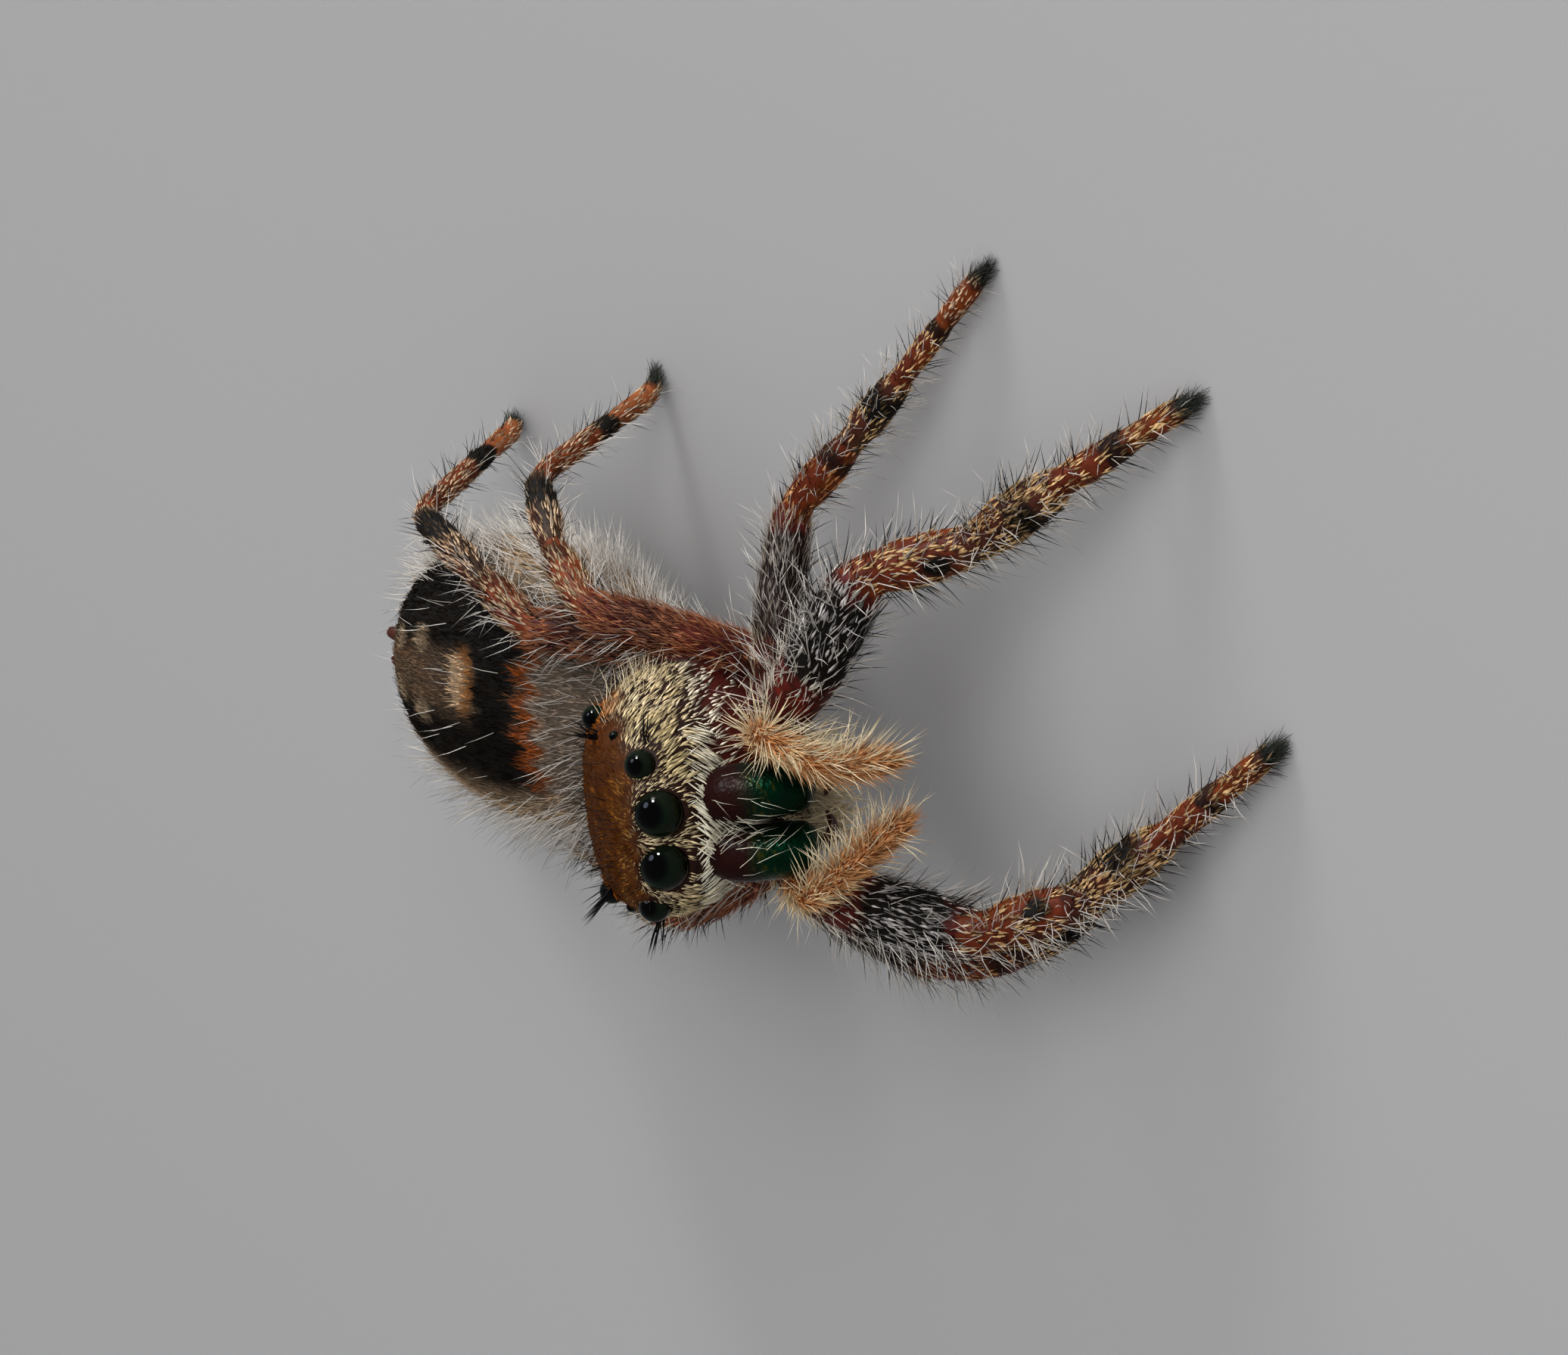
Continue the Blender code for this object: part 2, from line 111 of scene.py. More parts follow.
# Turn from straight ahead and rise of femur, patella and tibia, then the turn of the foot
LEG_POSES = {
    "leg_1_left": ((57, -13), (18, -28), (35, -14), 33),
    "leg_2_left": ((99, -25), (47, -17), (47, -12), 48),
    "leg_3_left": ((145, 43), (153, -16), (150, -27), 116),
    "leg_4_left": ((168, 39), (165, -10), (165, -11), 169),
    "leg_1_right": ((-14, -24), (23, -21), (38, -18), 39),
    "leg_2_right": ((-40, -27), (14, -18), (35, -16), 44),
    "leg_3_right": ((-150, 8), (-165, -14), (-172, -30), -172),
    "leg_4_right": ((-160, 6), (-166, -12), (-172, -23), -182),
}
TUFT_LENGTH = 0.34
TUFT_FALL = math.radians(20)
TUFT_RADIUS = 0.20
TUFT_TIP_HEIGHT = 0.11
KNEE_ROUNDING = 0.40
FANG_ROUNDING = 0.07
ABDOMEN_LENGTH = 7.2
ABDOMEN_HALF_WIDTH = 2.70
ABDOMEN_HALF_HEIGHT = 2.00
ABDOMEN_RISE = math.radians(6)
ABDOMEN_TURN = math.radians(2)
PEDICEL_START = (0.0, 2.02, -0.22)
PEDICEL_LENGTH = 0.75
PEDICEL_RADIUS = 0.30
SPINNERETS = {
    "spinneret_upper_left": (0.20, 0.22), "spinneret_upper_right": (-0.20, 0.22),
    "spinneret_lower_left": (0.24, -0.26), "spinneret_lower_right": (-0.24, -0.26),
}
SPINNERET_RADII = (0.20, 0.19, 0.13)
SPINNERET_LENGTH = 0.55
SPINNERET_INSET = 0.25

# Depth of the coat over the skin
LEG_COAT = 0.05
PALP_COAT = 0.09
HEAD_COAT = 0.05
ABDOMEN_COAT = 0.16
PEDICEL_COAT = 0.03
SPINNERET_COAT = 0.02
JAW_COAT = 0.02

SKIN_GRAIN = 0.071               # size of the skin's faces
SKIN_SMOOTHING = 4
EYE_RIM = (0.06, 1.42)           # height of the skin's rim round an eye, and its reach in eye radii
REAR_EYE_RIM = (0.15, 2.0)
EYE_GAZE = (0.29, -0.85, 0.55)   # where the black disc in each eye points: painted shade of the eye's dark inside, seen through the lens
WHITE_BAND = (0.38, 0.80)        # lower and upper edge of the band of white hairs under the eyes
# Bundles of long bristles beside the eyes: where they stand, which way they point, how long they are
LASHES = (((1.38, -1.35, 2.10), (0.45, -0.75, 0.9), 0.85), ((-1.38, -1.35, 2.10), (-0.55, -0.75, 0.8), 1.1),
          ((1.60, -2.40, 1.40), (0.95, 0.1, 0.1), 0.4), ((-1.55, -2.45, 1.40), (-0.9, -0.2, 0.35), 0.9))
LASH_FOCUS = 1.3                 # how far off the bristles of a bundle would meet
LASH_BED = (0.05, 0.10)          # where a bundle's bed starts to thin out, and its radius
TUFT_PATCH = 0.003               # size of each tuft's patch on the map
BOX_ROOM = 0.024                 # how far tufts may pass the solids' box, as a share of its size

# ------------------------------------------------------------------------------------------
# Tones of cuticle, scales and hair
# ------------------------------------------------------------------------------------------
MAROON = (0.085, 0.012, 0.009)
BARE_RED = (0.15, 0.015, 0.008)
RUST = (0.165, 0.033, 0.008)
ORANGE = (0.30, 0.085, 0.026)
UMBER = (0.050, 0.026, 0.014)
DARK_UMBER = (0.022, 0.009, 0.006)
BLACK = (0.007, 0.006, 0.005)
SLATE = (0.080, 0.078, 0.074)
SILVER = (0.56, 0.52, 0.51)
MAUVE = (0.36, 0.14, 0.07)
GOLD = (0.86, 0.64, 0.31)
OLD_GOLD = (0.52, 0.42, 0.18)
LEG_GOLD = (0.76, 0.50, 0.24)
PALE_ORANGE = (0.66, 0.33, 0.13)
PALP_ORANGE = (0.66, 0.29, 0.10)
PALP_GOLD = (0.95, 0.74, 0.44)
CREAM = (0.90, 0.78, 0.56)
IVORY = (0.86, 0.80, 0.68)
TAN = (0.50, 0.36, 0.22)
FAWN = (0.66, 0.46, 0.29)
GREY = (0.22, 0.185, 0.16)
HEAD_RUST = (0.080, 0.021, 0.001)
HEAD_REAR = (0.11, 0.038, 0.012)
HEAD_GRANULES = (0.36, 0.13, 0.018)
BROW_GOLD = (0.50, 0.25, 0.06)
BROW_ORANGE = (0.20, 0.045, 0.004)
REAR_EYE_ORANGE = (0.34, 0.10, 0.014)
BACK_BROWN = (0.16, 0.09, 0.05)
BACK_BORDER = (0.34, 0.075, 0.010)
BACK_FLAME = (0.42, 0.17, 0.05)
BACK_SPOT = (0.66, 0.45, 0.27)
BACK_FRONT = (0.22, 0.17, 0.135)
BELLY_BROWN = (0.20, 0.15, 0.11)
JAW_MAROON = (0.016, 0.0045, 0.0040)
JAW_GREEN = (0.001, 0.020, 0.009)
JAW_DARK_GREEN = (0.004, 0.010, 0.006)
# gold-green speckles on the jaws' green: painted glints, which also tint the metal there
JAW_GLINT_SPECKLE = (0.060, 0.055, 0.006)

body_turn = np.array((Matrix.Rotation(BODY_ROLL, 3, "Y") @ Matrix.Rotation(-BODY_PITCH, 3, "X")))


def turned(vector):
    """Turns a direction of the body frame into the world's."""
    return np.asarray(vector, float) @ body_turn.T


def in_world(points):
    """Turns points of the body frame into the world's, still in millimetres."""
    return turned(points) + (0.0, 0.0, BODY_HEIGHT)


def in_body(points):
    """Turns points of the world, in millimetres, back into the body frame's."""
    return (np.asarray(points, float) - (0.0, 0.0, BODY_HEIGHT)) @ body_turn


def unit(vectors):
    return vectors / np.maximum(np.linalg.norm(vectors, axis=-1, keepdims=True), 1e-9)


def heading(turn, rise):
    return np.array((math.sin(turn) * math.cos(rise), -math.cos(turn) * math.cos(rise), math.sin(rise)))


def mirrored(point, side):
    return np.array((point[0] * side, point[1], point[2]))


def eased(low, high, value):
    """Goes smoothly from 0 at low to 1 at high."""
    share = np.clip((value - low) / (high - low), 0.0, 1.0)
    return share * share * (3 - 2 * share)


def band(value, start, end, soft=0.04):
    """One between start and end, with soft borders."""
    return eased(start - soft, start + soft, value) * (1 - eased(end - soft, end + soft, value))


def mottle(points, size, seed):
    """Smooth random values from 0 to 1 that change over about the given size."""
    cells = points / size + seed * 7.31
    base = np.floor(cells)
    part = cells - base
    part = part * part * (3 - 2 * part)
    total = np.zeros(len(points))
    for corner in itertools.product((0, 1), repeat=3):
        spread = np.sin((base + corner) @ (127.1, 311.7, 74.7) + seed) * 43758.5453
        total += np.prod(np.where(corner, part, 1 - part), axis=1) * (spread - np.floor(spread))
    return total


# ------------------------------------------------------------------------------------------
# Flesh: rings of points, worked out as the solids are
# ------------------------------------------------------------------------------------------
def rounded_place(joints, segment, share, rounding):
    """A point and direction on a path of straight segments with rounded corners."""
    start, end = joints[segment], joints[segment + 1]
    length = np.linalg.norm(end - start)
    corner = None
    if (1 - share) * length < rounding and segment + 2 < len(joints):
        corner, t = segment + 1, 0.5 - 0.5 * (1 - share) * length / rounding
    elif share * length < rounding and segment > 0:
        corner, t = segment, 0.5 + 0.5 * share * length / rounding
    if corner is None:
        return start + (end - start) * share, unit(end - start)
    middle = joints[corner]
    before = middle + unit(joints[corner - 1] - middle) * rounding
    after = middle + unit(joints[corner + 1] - middle) * rounding
    near, far = before + (middle - before) * t, middle + (after - middle) * t
    return near + (far - near) * t, unit(far - near)


class Limb:
    """A tube's middle line: points, directions, cross axes, stations and radii."""

    def __init__(self, name, joints, stations, rounding, coat, step=0.11):
        self.name = name
        joints = [np.asarray(joint, float) for joint in joints]
        marks = [segment + share for segment, share, _ in stations]
        samples = [marks[0]]
        for segment, (start, end) in enumerate(itertools.pairwise(joints)):
            count = max(2, round(np.linalg.norm(end - start) / step))
            samples += [segment + i / count for i in range(count) if segment + i / count > marks[0]]
        samples = [mark for mark in samples if mark < marks[-1] - 1e-6] + [marks[-1]]
        self.mark = np.array(samples)
        segments = [min(int(mark), len(joints) - 2) for mark in samples]
        places = [rounded_place(joints, segment, mark - segment, rounding)
                  for segment, mark in zip(segments, samples)]
        self.point, self.along = (np.array(column) for column in zip(*places))
        self.radius = np.interp(self.mark, marks, [radius for _, _, radius in stations]) - coat
        across = np.cross(self.along[0], (0.0, 0.0, 1.0))
        self.across = []
        for along in self.along:
            across = unit(across - along * (across @ along))
            self.across.append(across)
        self.across = np.array(self.across)
        self.up = np.cross(self.across, self.along)

    def pinch(self, joints, depth, width):
        for joint in joints:
            self.radius *= 1 - depth * np.exp(-((self.mark - joint) / width) ** 2)

    def rings(self, sides=20):
        angle = 2 * math.pi * np.arange(sides)[:, None] / sides
        spokes = self.across[:, None] * np.cos(angle) + self.up[:, None] * np.sin(angle)
        return self.point[:, None] + spokes * self.radius[:, None, None]

    def places_of(self, points):
        """Station, angle round the tube and direction of the nearest bit of middle line."""
        nearest = np.empty(len(points), int)
        for part in np.array_split(np.arange(len(points)), max(1, len(points) // 4000)):
            gap = np.linalg.norm(points[part][:, None] - self.point[None], axis=2)
            nearest[part] = gap.argmin(1)
        offset = points - self.point[nearest]
        angle = np.arctan2((offset * self.up[nearest]).sum(1), (offset * self.across[nearest]).sum(1))
        step = np.linalg.norm(np.diff(self.point, axis=0), axis=1).mean()
        slope = np.gradient(self.mark)[nearest] / step
        mark = self.mark[nearest] + (offset * self.along[nearest]).sum(1) * slope
        return mark, angle, self.along[nearest], self.up[nearest]


def leg_joints(name):
    number, side = int(name[4]), 1 if name.endswith("left") else -1
    *upper, foot_turn = LEG_POSES[name]
    joints = [in_world(mirrored(COXA_BASE[number], side)), in_world(mirrored(TROCHANTER[number], side))]
    lengths = LEG_LENGTHS[number]
    for (turn, rise), length in zip(upper, lengths):
        joints.append(joints[-1] + heading(math.radians(turn), math.radians(rise)) * length)
    foot_turn = math.radians(foot_turn)
    landing = TUFT_TIP_HEIGHT + TUFT_LENGTH * math.sin(TUFT_FALL)
    fall = math.asin((landing - joints[-1][2]) / (lengths[3] + lengths[4]))
    for length in lengths[3:]:
        joints.append(joints[-1] + heading(foot_turn, fall) * length)
    joints.append(joints[-1] + heading(foot_turn, -TUFT_FALL) * TUFT_LENGTH)
    return joints


def leg_stations(number):
    coxa, femur, patella, tibia, metatarsus, tarsus = LEG_RADII[number]
    stations = [(0, 0.1, coxa * 0.9), (0, 0.55, coxa), (0, 0.92, coxa * 0.9)]
    swellings = ((1, femur, 0.13, 0.95), (2, patella, 0.14, 0.93), (3, tibia, 0.12, 0.95))
    for segment, radius, near, far in swellings:
        stations += [(segment, near, radius * 0.84), (segment, 0.36, radius),
                     (segment, 0.68, radius * 0.98), (segment, far, radius * 0.84)]
    return stations + [(4, 0.10, metatarsus * 0.94), (4, 0.50, metatarsus), (4, 0.94, metatarsus * 0.95),
                       (5, 0.15, tarsus * 0.94), (5, 0.60, tarsus), (5, 0.96, tarsus * 0.92),
                       (6, 0.50, TUFT_RADIUS * 1.10), (6, 1.00, TUFT_RADIUS * 0.85)]


def leg(name):
    """A leg pinched at its joints, with a slim pad under the claw tuft."""
    limb = Limb(name, leg_joints(name), leg_stations(int(name[4])), KNEE_ROUNDING, LEG_COAT)
    limb.pinch((1.02, 2.02, 3.0, 4.0, 5.0), 0.13, 0.035)
    limb.radius *= 1 - 0.35 * eased(5.9, 6.2, limb.mark)
    return limb


def palp(name):
    trochanter, femur, patella, tibia, tarsus = PALP_RADII
    stations = [(0, 0.0, trochanter), (0, 0.35, femur), (0, 0.80, femur), (1, 0.15, patella * 0.9),
                (1, 0.60, patella), (2, 0.10, tibia * 0.92), (2, 0.60, tibia), (3, 0.08, tarsus * 0.92),
                (3, 0.45, tarsus), (3, 0.80, tarsus * 0.86), (3, 0.97, tarsus * 0.50)]
    limb = Limb(name, in_world(PALPS[name]), stations, PALP_ROUNDING, PALP_COAT, step=0.06)
    limb.pinch((1.0, 2.0, 3.0), 0.10, 0.08)
    return limb


def abdomen_frame():
    along = heading(math.pi - ABDOMEN_TURN, ABDOMEN_RISE)
    across = unit(np.cross((0.0, 0.0, 1.0), -along))
    start = in_world(PEDICEL_START) + along * (PEDICEL_LENGTH * 0.6)
    return start, along, across, np.cross(-along, across)


def pedicel():
    start, along = in_world(PEDICEL_START), abdomen_frame()[1]
    joints = [start - along * 0.3, start + along * (PEDICEL_LENGTH + 0.2)]
    stations = [(0, share, PEDICEL_RADIUS) for share in (0.0, 1.0)]
    return Limb("pedicel", joints, stations, 0.0, PEDICEL_COAT, step=0.08)


def spinneret(name):
    aside, above = SPINNERETS[name]
    start, along, across, up = abdomen_frame()
    root = start + along * (ABDOMEN_LENGTH - SPINNERET_INSET) + across * aside + up * above
    tip = root + (along + across * aside * 0.6 + up * above * 0.4) * SPINNERET_LENGTH
    stations = [(0, share, radius) for share, radius in zip((0.0, 0.6, 1.0), SPINNERET_RADII)]
    return Limb(name, [root - along * 0.5, tip], stations, 0.0, SPINNERET_COAT, step=0.06)


def abdomen_rings(rows=70, sides=72):
    start, along, across, up = abdomen_frame()
    bend = math.pi * (np.arange(1, rows) / rows)
    swell = np.sin(bend) ** 0.92 * (1 - 0.04 * np.cos(bend))
    angle = 2 * math.pi * np.arange(sides) / sides
    middle = start + along * (ABDOMEN_COAT + (ABDOMEN_LENGTH - 2 * ABDOMEN_COAT)
                              * (1 - np.cos(bend[:, None])) / 2)
    wide = ((ABDOMEN_HALF_WIDTH - ABDOMEN_COAT) * swell)[:, None] * np.cos(angle)
    high = ((ABDOMEN_HALF_HEIGHT - ABDOMEN_COAT) * swell)[:, None] * np.sin(angle)
    return middle[:, None] + wide[..., None] * across + high[..., None] * up


def smooth_through(table, places):
    """Curves through the table's columns at places in its first, without overshoot."""
    known, *columns = np.array(table).T
    i = np.clip(np.searchsorted(known, places) - 1, 0, len(known) - 2)
    width = known[i + 1] - known[i]
    t = (places - known[i]) / width
    found = []
    for values in columns:
        slope = np.diff(values) / np.diff(known)
        bends = np.where(slope[1:] * slope[:-1] > 0, 2 * slope[1:] * slope[:-1]
                         / (slope[1:] + slope[:-1] + 1e-12), 0.0)
        tangent = np.concatenate([slope[:1], bends, slope[-1:]])
        found.append((2 * t**3 - 3 * t**2 + 1) * values[i] + (t**3 - 2 * t**2 + t) * width * tangent[i]
                     + (3 * t**2 - 2 * t**3) * values[i + 1] + (t**3 - t**2) * width * tangent[i + 1])
    return found


def carapace_rings(rows=90, sides=96):
    """Sections across the front body, with the table's rows joined by smooth curves."""
    first, last = CARAPACE[0][0], CARAPACE[-1][0]
    share = 0.5 - 0.5 * np.cos(math.pi * np.arange(rows) / (rows - 1))
    y = first + (last - first) * share
    half_width, top, bottom, widest = smooth_through(CARAPACE, y)
    angle = 2 * math.pi * np.arange(sides) / sides
    across, rise = np.cos(angle), np.sin(angle)
    rings = []
    for i in range(rows):
        upper = CARAPACE_SQUARE[0] + (CARAPACE_SQUARE[1] - CARAPACE_SQUARE[0]) * share[i]
        square = np.where(rise >= 0, upper, UNDERSIDE_SQUARE)
        reach = np.where(rise >= 0, top[i] - widest[i] - HEAD_COAT, widest[i] - bottom[i] - HEAD_COAT)
        x = (half_width[i] - HEAD_COAT) * np.sign(across) * np.abs(across) ** (2 / square)
        z = widest[i] + reach * np.sign(rise) * np.abs(rise) ** (2 / square)
        rings.append(np.stack([x, np.full(sides, y[i] + HEAD_COAT * (1 - 2 * share[i])), z], 1))
    return in_world(np.array(rings))


def jaw_rings(side, rows=56, sides=40, blunt=0.22):
    table = CHELICERA[::-1]
    z = np.linspace(table[0][0], table[-1][0], rows)
    x, y, half_width, half_depth = smooth_through(table, z)
    angle = 2 * math.pi * np.arange(sides) / sides
    taper = np.sqrt(np.clip(1 - ((table[0][0] + blunt - z) / blunt).clip(0, 1) ** 2, 0.1, 1))
    rings = np.stack([side * x[:, None] + ((half_width - JAW_COAT) * taper)[:, None] * np.cos(angle),
                      y[:, None] + ((half_depth - JAW_COAT) * taper)[:, None] * np.sin(angle),
                      np.repeat(z[:, None], sides, 1)], 2)
    return in_world(rings)


def ball_rings(centre, radii, rows=24, sides=32):
    bend = math.pi * np.arange(1, rows) / rows
    angle = 2 * math.pi * np.arange(sides) / sides
    offsets = np.stack([radii[0] * np.sin(bend)[:, None] * np.cos(angle),
                        np.repeat(-radii[1] * np.cos(bend)[:, None], sides, 1),
                        radii[2] * np.sin(bend)[:, None] * np.sin(angle)], 2)
    return in_world(np.asarray(centre) + offsets)


def lofted(rings):
    """Closed shell through rings; its two ends are fans round a middle point."""
    rows, sides = rings.shape[:2]
    points = np.concatenate([rings.reshape(-1, 3), rings[:1].mean(1), rings[-1:].mean(1)])
    faces = []
    for row in range(rows - 1):
        for i in range(sides):
            j = (i + 1) % sides
            faces.append((row * sides + i, row * sides + j, (row + 1) * sides + j, (row + 1) * sides + i))
    for i in range(sides):
        j = (i + 1) % sides
        faces += [(rows * sides, j, i), (rows * sides + 1, (rows - 1) * sides + i, (rows - 1) * sides + j)]
    return points, faces


def mesh_of(name, shells):
    """One mesh from several shells of points and faces, with its normals outwards."""
    points, faces, base = [], [], 0
    for shell_points, shell_faces in shells:
        points.append(shell_points)
        faces += [tuple(base + i for i in face) for face in shell_faces]
        base += len(shell_points)
    mesh = bpy.data.meshes.new(name)
    mesh.from_pydata(np.concatenate(points).tolist(), [], faces)
    mesh.validate()
    bm = bmesh.new()
    bm.from_mesh(mesh)
    bmesh.ops.recalc_face_normals(bm, faces=list(bm.faces))
    bm.to_mesh(mesh)
    bm.free()
    mesh.shade_smooth()
    return mesh


def added(name, data):
    thing = bpy.data.objects.new(name, data)
    bpy.context.scene.collection.objects.link(thing)
    return thing


def plain_mesh(thing):
    """The mesh that a thing's modifiers make."""
    graph = bpy.context.evaluated_depsgraph_get()
    return bpy.data.meshes.new_from_object(thing.evaluated_get(graph), preserve_all_data_layers=True,
                                           depsgraph=graph)


def numbers(collection, field, width=1, kind=np.float64):
    found = np.empty(len(collection) * width, kind)
    collection.foreach_get(field, found)
    return found.reshape(-1, width) if width > 1 else found


def points_of(mesh):
    return numbers(mesh.vertices, "co", 3)


def normals_of(mesh):
    return numbers(mesh.vertices, "normal", 3)


# Where the solids' origin lies from the one that these tables use
SHIFT = np.mean(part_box("eye_front_middle_left"), axis=0) / MM - in_world(EYES["eye_front_middle"][:3])
SHIFT[2] = 0.0


def settled(mesh):
    """Moves a mesh to metres, on or above the floor and close to the solids' box."""
    low, high = np.array(cad_box)
    room = (high - low) * BOX_ROOM
    points = np.clip((points_of(mesh) + SHIFT) * MM, (low[0] - room[0], low[1] - room[1], 0.0), high + room)
    mesh.vertices.foreach_set("co", points.ravel())
    mesh.update()
    return mesh


def finish_piece(piece, material, slot, *replaced):
    """Gives a piece its place and material, hangs it on the root, and hides the parts it replaces."""
    mesh = settled(piece.data)
    mesh.materials.clear()
    mesh.materials.append(material)
    mesh.shade_smooth()
    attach(piece, "root")
    if replaced:
        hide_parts(*replaced)


# ------------------------------------------------------------------------------------------
# One skin over all the flesh
# ------------------------------------------------------------------------------------------
def build_skin():
    """One even skin over the flesh, its parts' names, each point's part, and the limbs by name."""
    limbs = [leg(name) for name in LEG_POSES] + [palp(name) for name in PALPS]
    limbs += [pedicel()] + [spinneret(name) for name in SPINNERETS]
    shells = {limb.name: lofted(limb.rings()) for limb in limbs}
    shells |= {"carapace": lofted(carapace_rings()), "abdomen": lofted(abdomen_rings())}
    for side, word in SIDES:
        shells[f"maxilla_{word}"] = lofted(ball_rings(mirrored(MAXILLA_CENTRE, side), MAXILLA_RADII))
    flesh = added("flesh", mesh_of("flesh", shells.values()))
    remesh = flesh.modifiers.new("even", "REMESH")
    remesh.mode = "VOXEL"
    remesh.voxel_size = SKIN_GRAIN
    remesh.use_smooth_shade = True
    smooth = flesh.modifiers.new("smooth", "SMOOTH")
    smooth.factor = 0.5
    smooth.iterations = SKIN_SMOOTHING
    skin = plain_mesh(flesh)
    bpy.data.objects.remove(flesh)
    owners = np.repeat(np.arange(len(shells)), [len(points) for points, _ in shells.values()])
    tree = KDTree(len(owners))
    for count, point in enumerate(itertools.chain.from_iterable(points for points, _ in shells.values())):
        tree.insert(point, count)
    tree.balance()
    owner = owners[[tree.find(point)[1] for point in points_of(skin)]]
    raise_eye_rims(skin)
    return skin, list(shells), owner, {limb.name: limb for limb in limbs}


def raise_eye_rims(skin):
    """Raises a low rim where the skin meets each eye."""
    points = points_of(skin)
    lift = np.zeros(len(points))
    for (kind, (x, y, z, radius)), (side, _) in itertools.product(EYES.items(), SIDES):
        height, reach = REAR_EYE_RIM if kind == "eye_rear" else EYE_RIM
        gap = np.linalg.norm(points - in_world((side * x, y, z)), axis=1) / radius
        lift += height * math.sqrt(radius) * eased(0.9, 1.02, gap) * (1 - eased(1.04, reach, gap))
    skin.vertices.foreach_set("co", (points + normals_of(skin) * lift[:, None]).ravel())
    skin.update()


# Where each part lies on the square map: left, bottom, width, height
MAP_PLACES = {"carapace": (0.52, 0.50, 0.46, 0.48), "abdomen": (0.52, 0.02, 0.46, 0.46)}
MAP_PLACES |= {name: (0.02, 0.02 + 0.098 * i, 0.46, 0.088) for i, name in enumerate(LEG_POSES)}
MAP_PLACES |= {name: (0.02 + 0.235 * i, 0.81, 0.22, 0.07) for i, name in enumerate(PALPS)}
MAP_PLACES |= {name: (0.02 + 0.115 * i, 0.89, 0.10, 0.09)
               for i, name in enumerate(("maxilla_left", "maxilla_right", "pedicel"))}
MAP_PLACES |= {name: (0.365 + 0.03 * i, 0.89, 0.025, 0.09) for i, name in enumerate(SPINNERETS)}


def round_and_along(name, limbs, points):
    """How far along a part each point lies, from 0 to 1, and its angle round the part."""
    if name in limbs:
        limb = limbs[name]
        mark, angle, _, _ = limb.places_of(points)
        return (mark - limb.mark[0]) / (limb.mark[-1] - limb.mark[0]), angle
    if name == "abdomen":
        start, along, across, up = abdomen_frame()
        offset = points - start - along * (ABDOMEN_LENGTH / 2)
        reach, side, fall = offset @ along, offset @ across, -(offset @ up)
    else:
        side = 1 if name.endswith("left") else -1
        middle = (0, -0.3, 0.6) if name == "carapace" else mirrored(MAXILLA_CENTRE, side)
        offset = in_body(points) - middle
        reach, side, fall = offset[:, 1], offset[:, 0], -offset[:, 2]
    bend = np.arccos(np.clip(-reach / np.linalg.norm(offset, axis=1), -1, 1))
    return bend / math.pi, np.arctan2(side, fall)


def unwrap(skin, names, owner, limbs):
    """Lays each part flat in its own place on the map, cut along its underside."""
    points = points_of(skin)
    corner_point = numbers(skin.loops, "vertex_index", kind=np.int32)
    first = numbers(skin.polygons, "loop_start", kind=np.int32)
    corner_face = np.repeat(np.arange(len(first)), numbers(skin.polygons, "loop_total", kind=np.int32))
    corner_owner = owner[corner_point[first]][corner_face]
    place = np.zeros((len(corner_point), 2))
    for i, name in enumerate(names):
        mine = np.flatnonzero(corner_owner == i)
        if not len(mine):
            continue
        left, bottom, width, height = MAP_PLACES[name]
        along, angle = round_and_along(name, limbs, points[corner_point[mine]])
        lead = angle[np.searchsorted(mine, first[corner_face[mine]])]
        angle = np.where(angle - lead > math.pi, angle - 2 * math.pi, angle)
        angle = np.where(angle - lead < -math.pi, angle + 2 * math.pi, angle)
        place[mine, 0] = left + width * np.clip(along, 0, 1)
        place[mine, 1] = bottom + height * np.clip(angle / (2 * math.pi) + 0.5, -0.05, 1.05)
    return np.clip(place, 0.001, 0.999)


# ------------------------------------------------------------------------------------------
# Markings: the tone of the cuticle and of the coat on it, how thick each kind of hair grows
# ------------------------------------------------------------------------------------------
GROWTHS = ("scales", "fringe", "bristles", "fuzz", "brush", "plume", "veil", "lash")


def fresh_coat(count):
    """What a surface wears at each of its points: tones, gloss, and how its hairs reach, lie and grow."""
    coat = {"hide_tone": np.zeros((count, 3)) + UMBER, "coat_tone": np.zeros((count, 3)) + TAN,
            "gloss": np.full(count, 0.5), "reach": np.ones(count), "lie": np.zeros((count, 3))}
    return coat | {kind: np.zeros(count) for kind in GROWTHS}


def blend(colours, tone, amount):
    """Moves an array of colours towards a tone by a share for all or for each."""
    return colours + (np.asarray(tone) - colours) * np.atleast_1d(np.clip(amount, 0, 1))[:, None]


def painted(tone, points, *layers):
    """A tone for each point, with further tones laid over it, each by its share."""
    colours = np.zeros((len(points), 3)) + tone
    for layer, amount in layers:
        colours = blend(colours, layer, amount)
    return colours


def oval(u, v, middle, size, inner, outer):
    """One inside an oval spot, with a soft border."""
    return 1 - eased(inner, outer, ((u - middle[0]) / size[0]) ** 2 + ((v - middle[1]) / size[1]) ** 2)


# Per segment from coxa to claw tuft: cuticle, scales, how thick the scales grow, gloss
FORE_LEG = ((MAROON, CREAM, 0.05, 0.9), (MAROON, IVORY, 0.16, 0.8), (RUST, LEG_GOLD, 0.46, 0.5),
            (UMBER, LEG_GOLD, 0.95, 0.4), (RUST, LEG_GOLD, 0.32, 0.5), (RUST, LEG_GOLD, 0.70, 0.5),
            (BLACK, SLATE, 0.1, 0.2))
SECOND_LEG = ((MAROON, CREAM, 0.05, 0.9), (MAROON, TAN, 0.16, 0.9), (RUST, PALE_ORANGE, 0.45, 0.7),
              (UMBER, LEG_GOLD, 0.80, 0.4), (RUST, LEG_GOLD, 0.55, 0.5), (RUST, FAWN, 0.75, 0.5),
              (BLACK, SLATE, 0.1, 0.2))
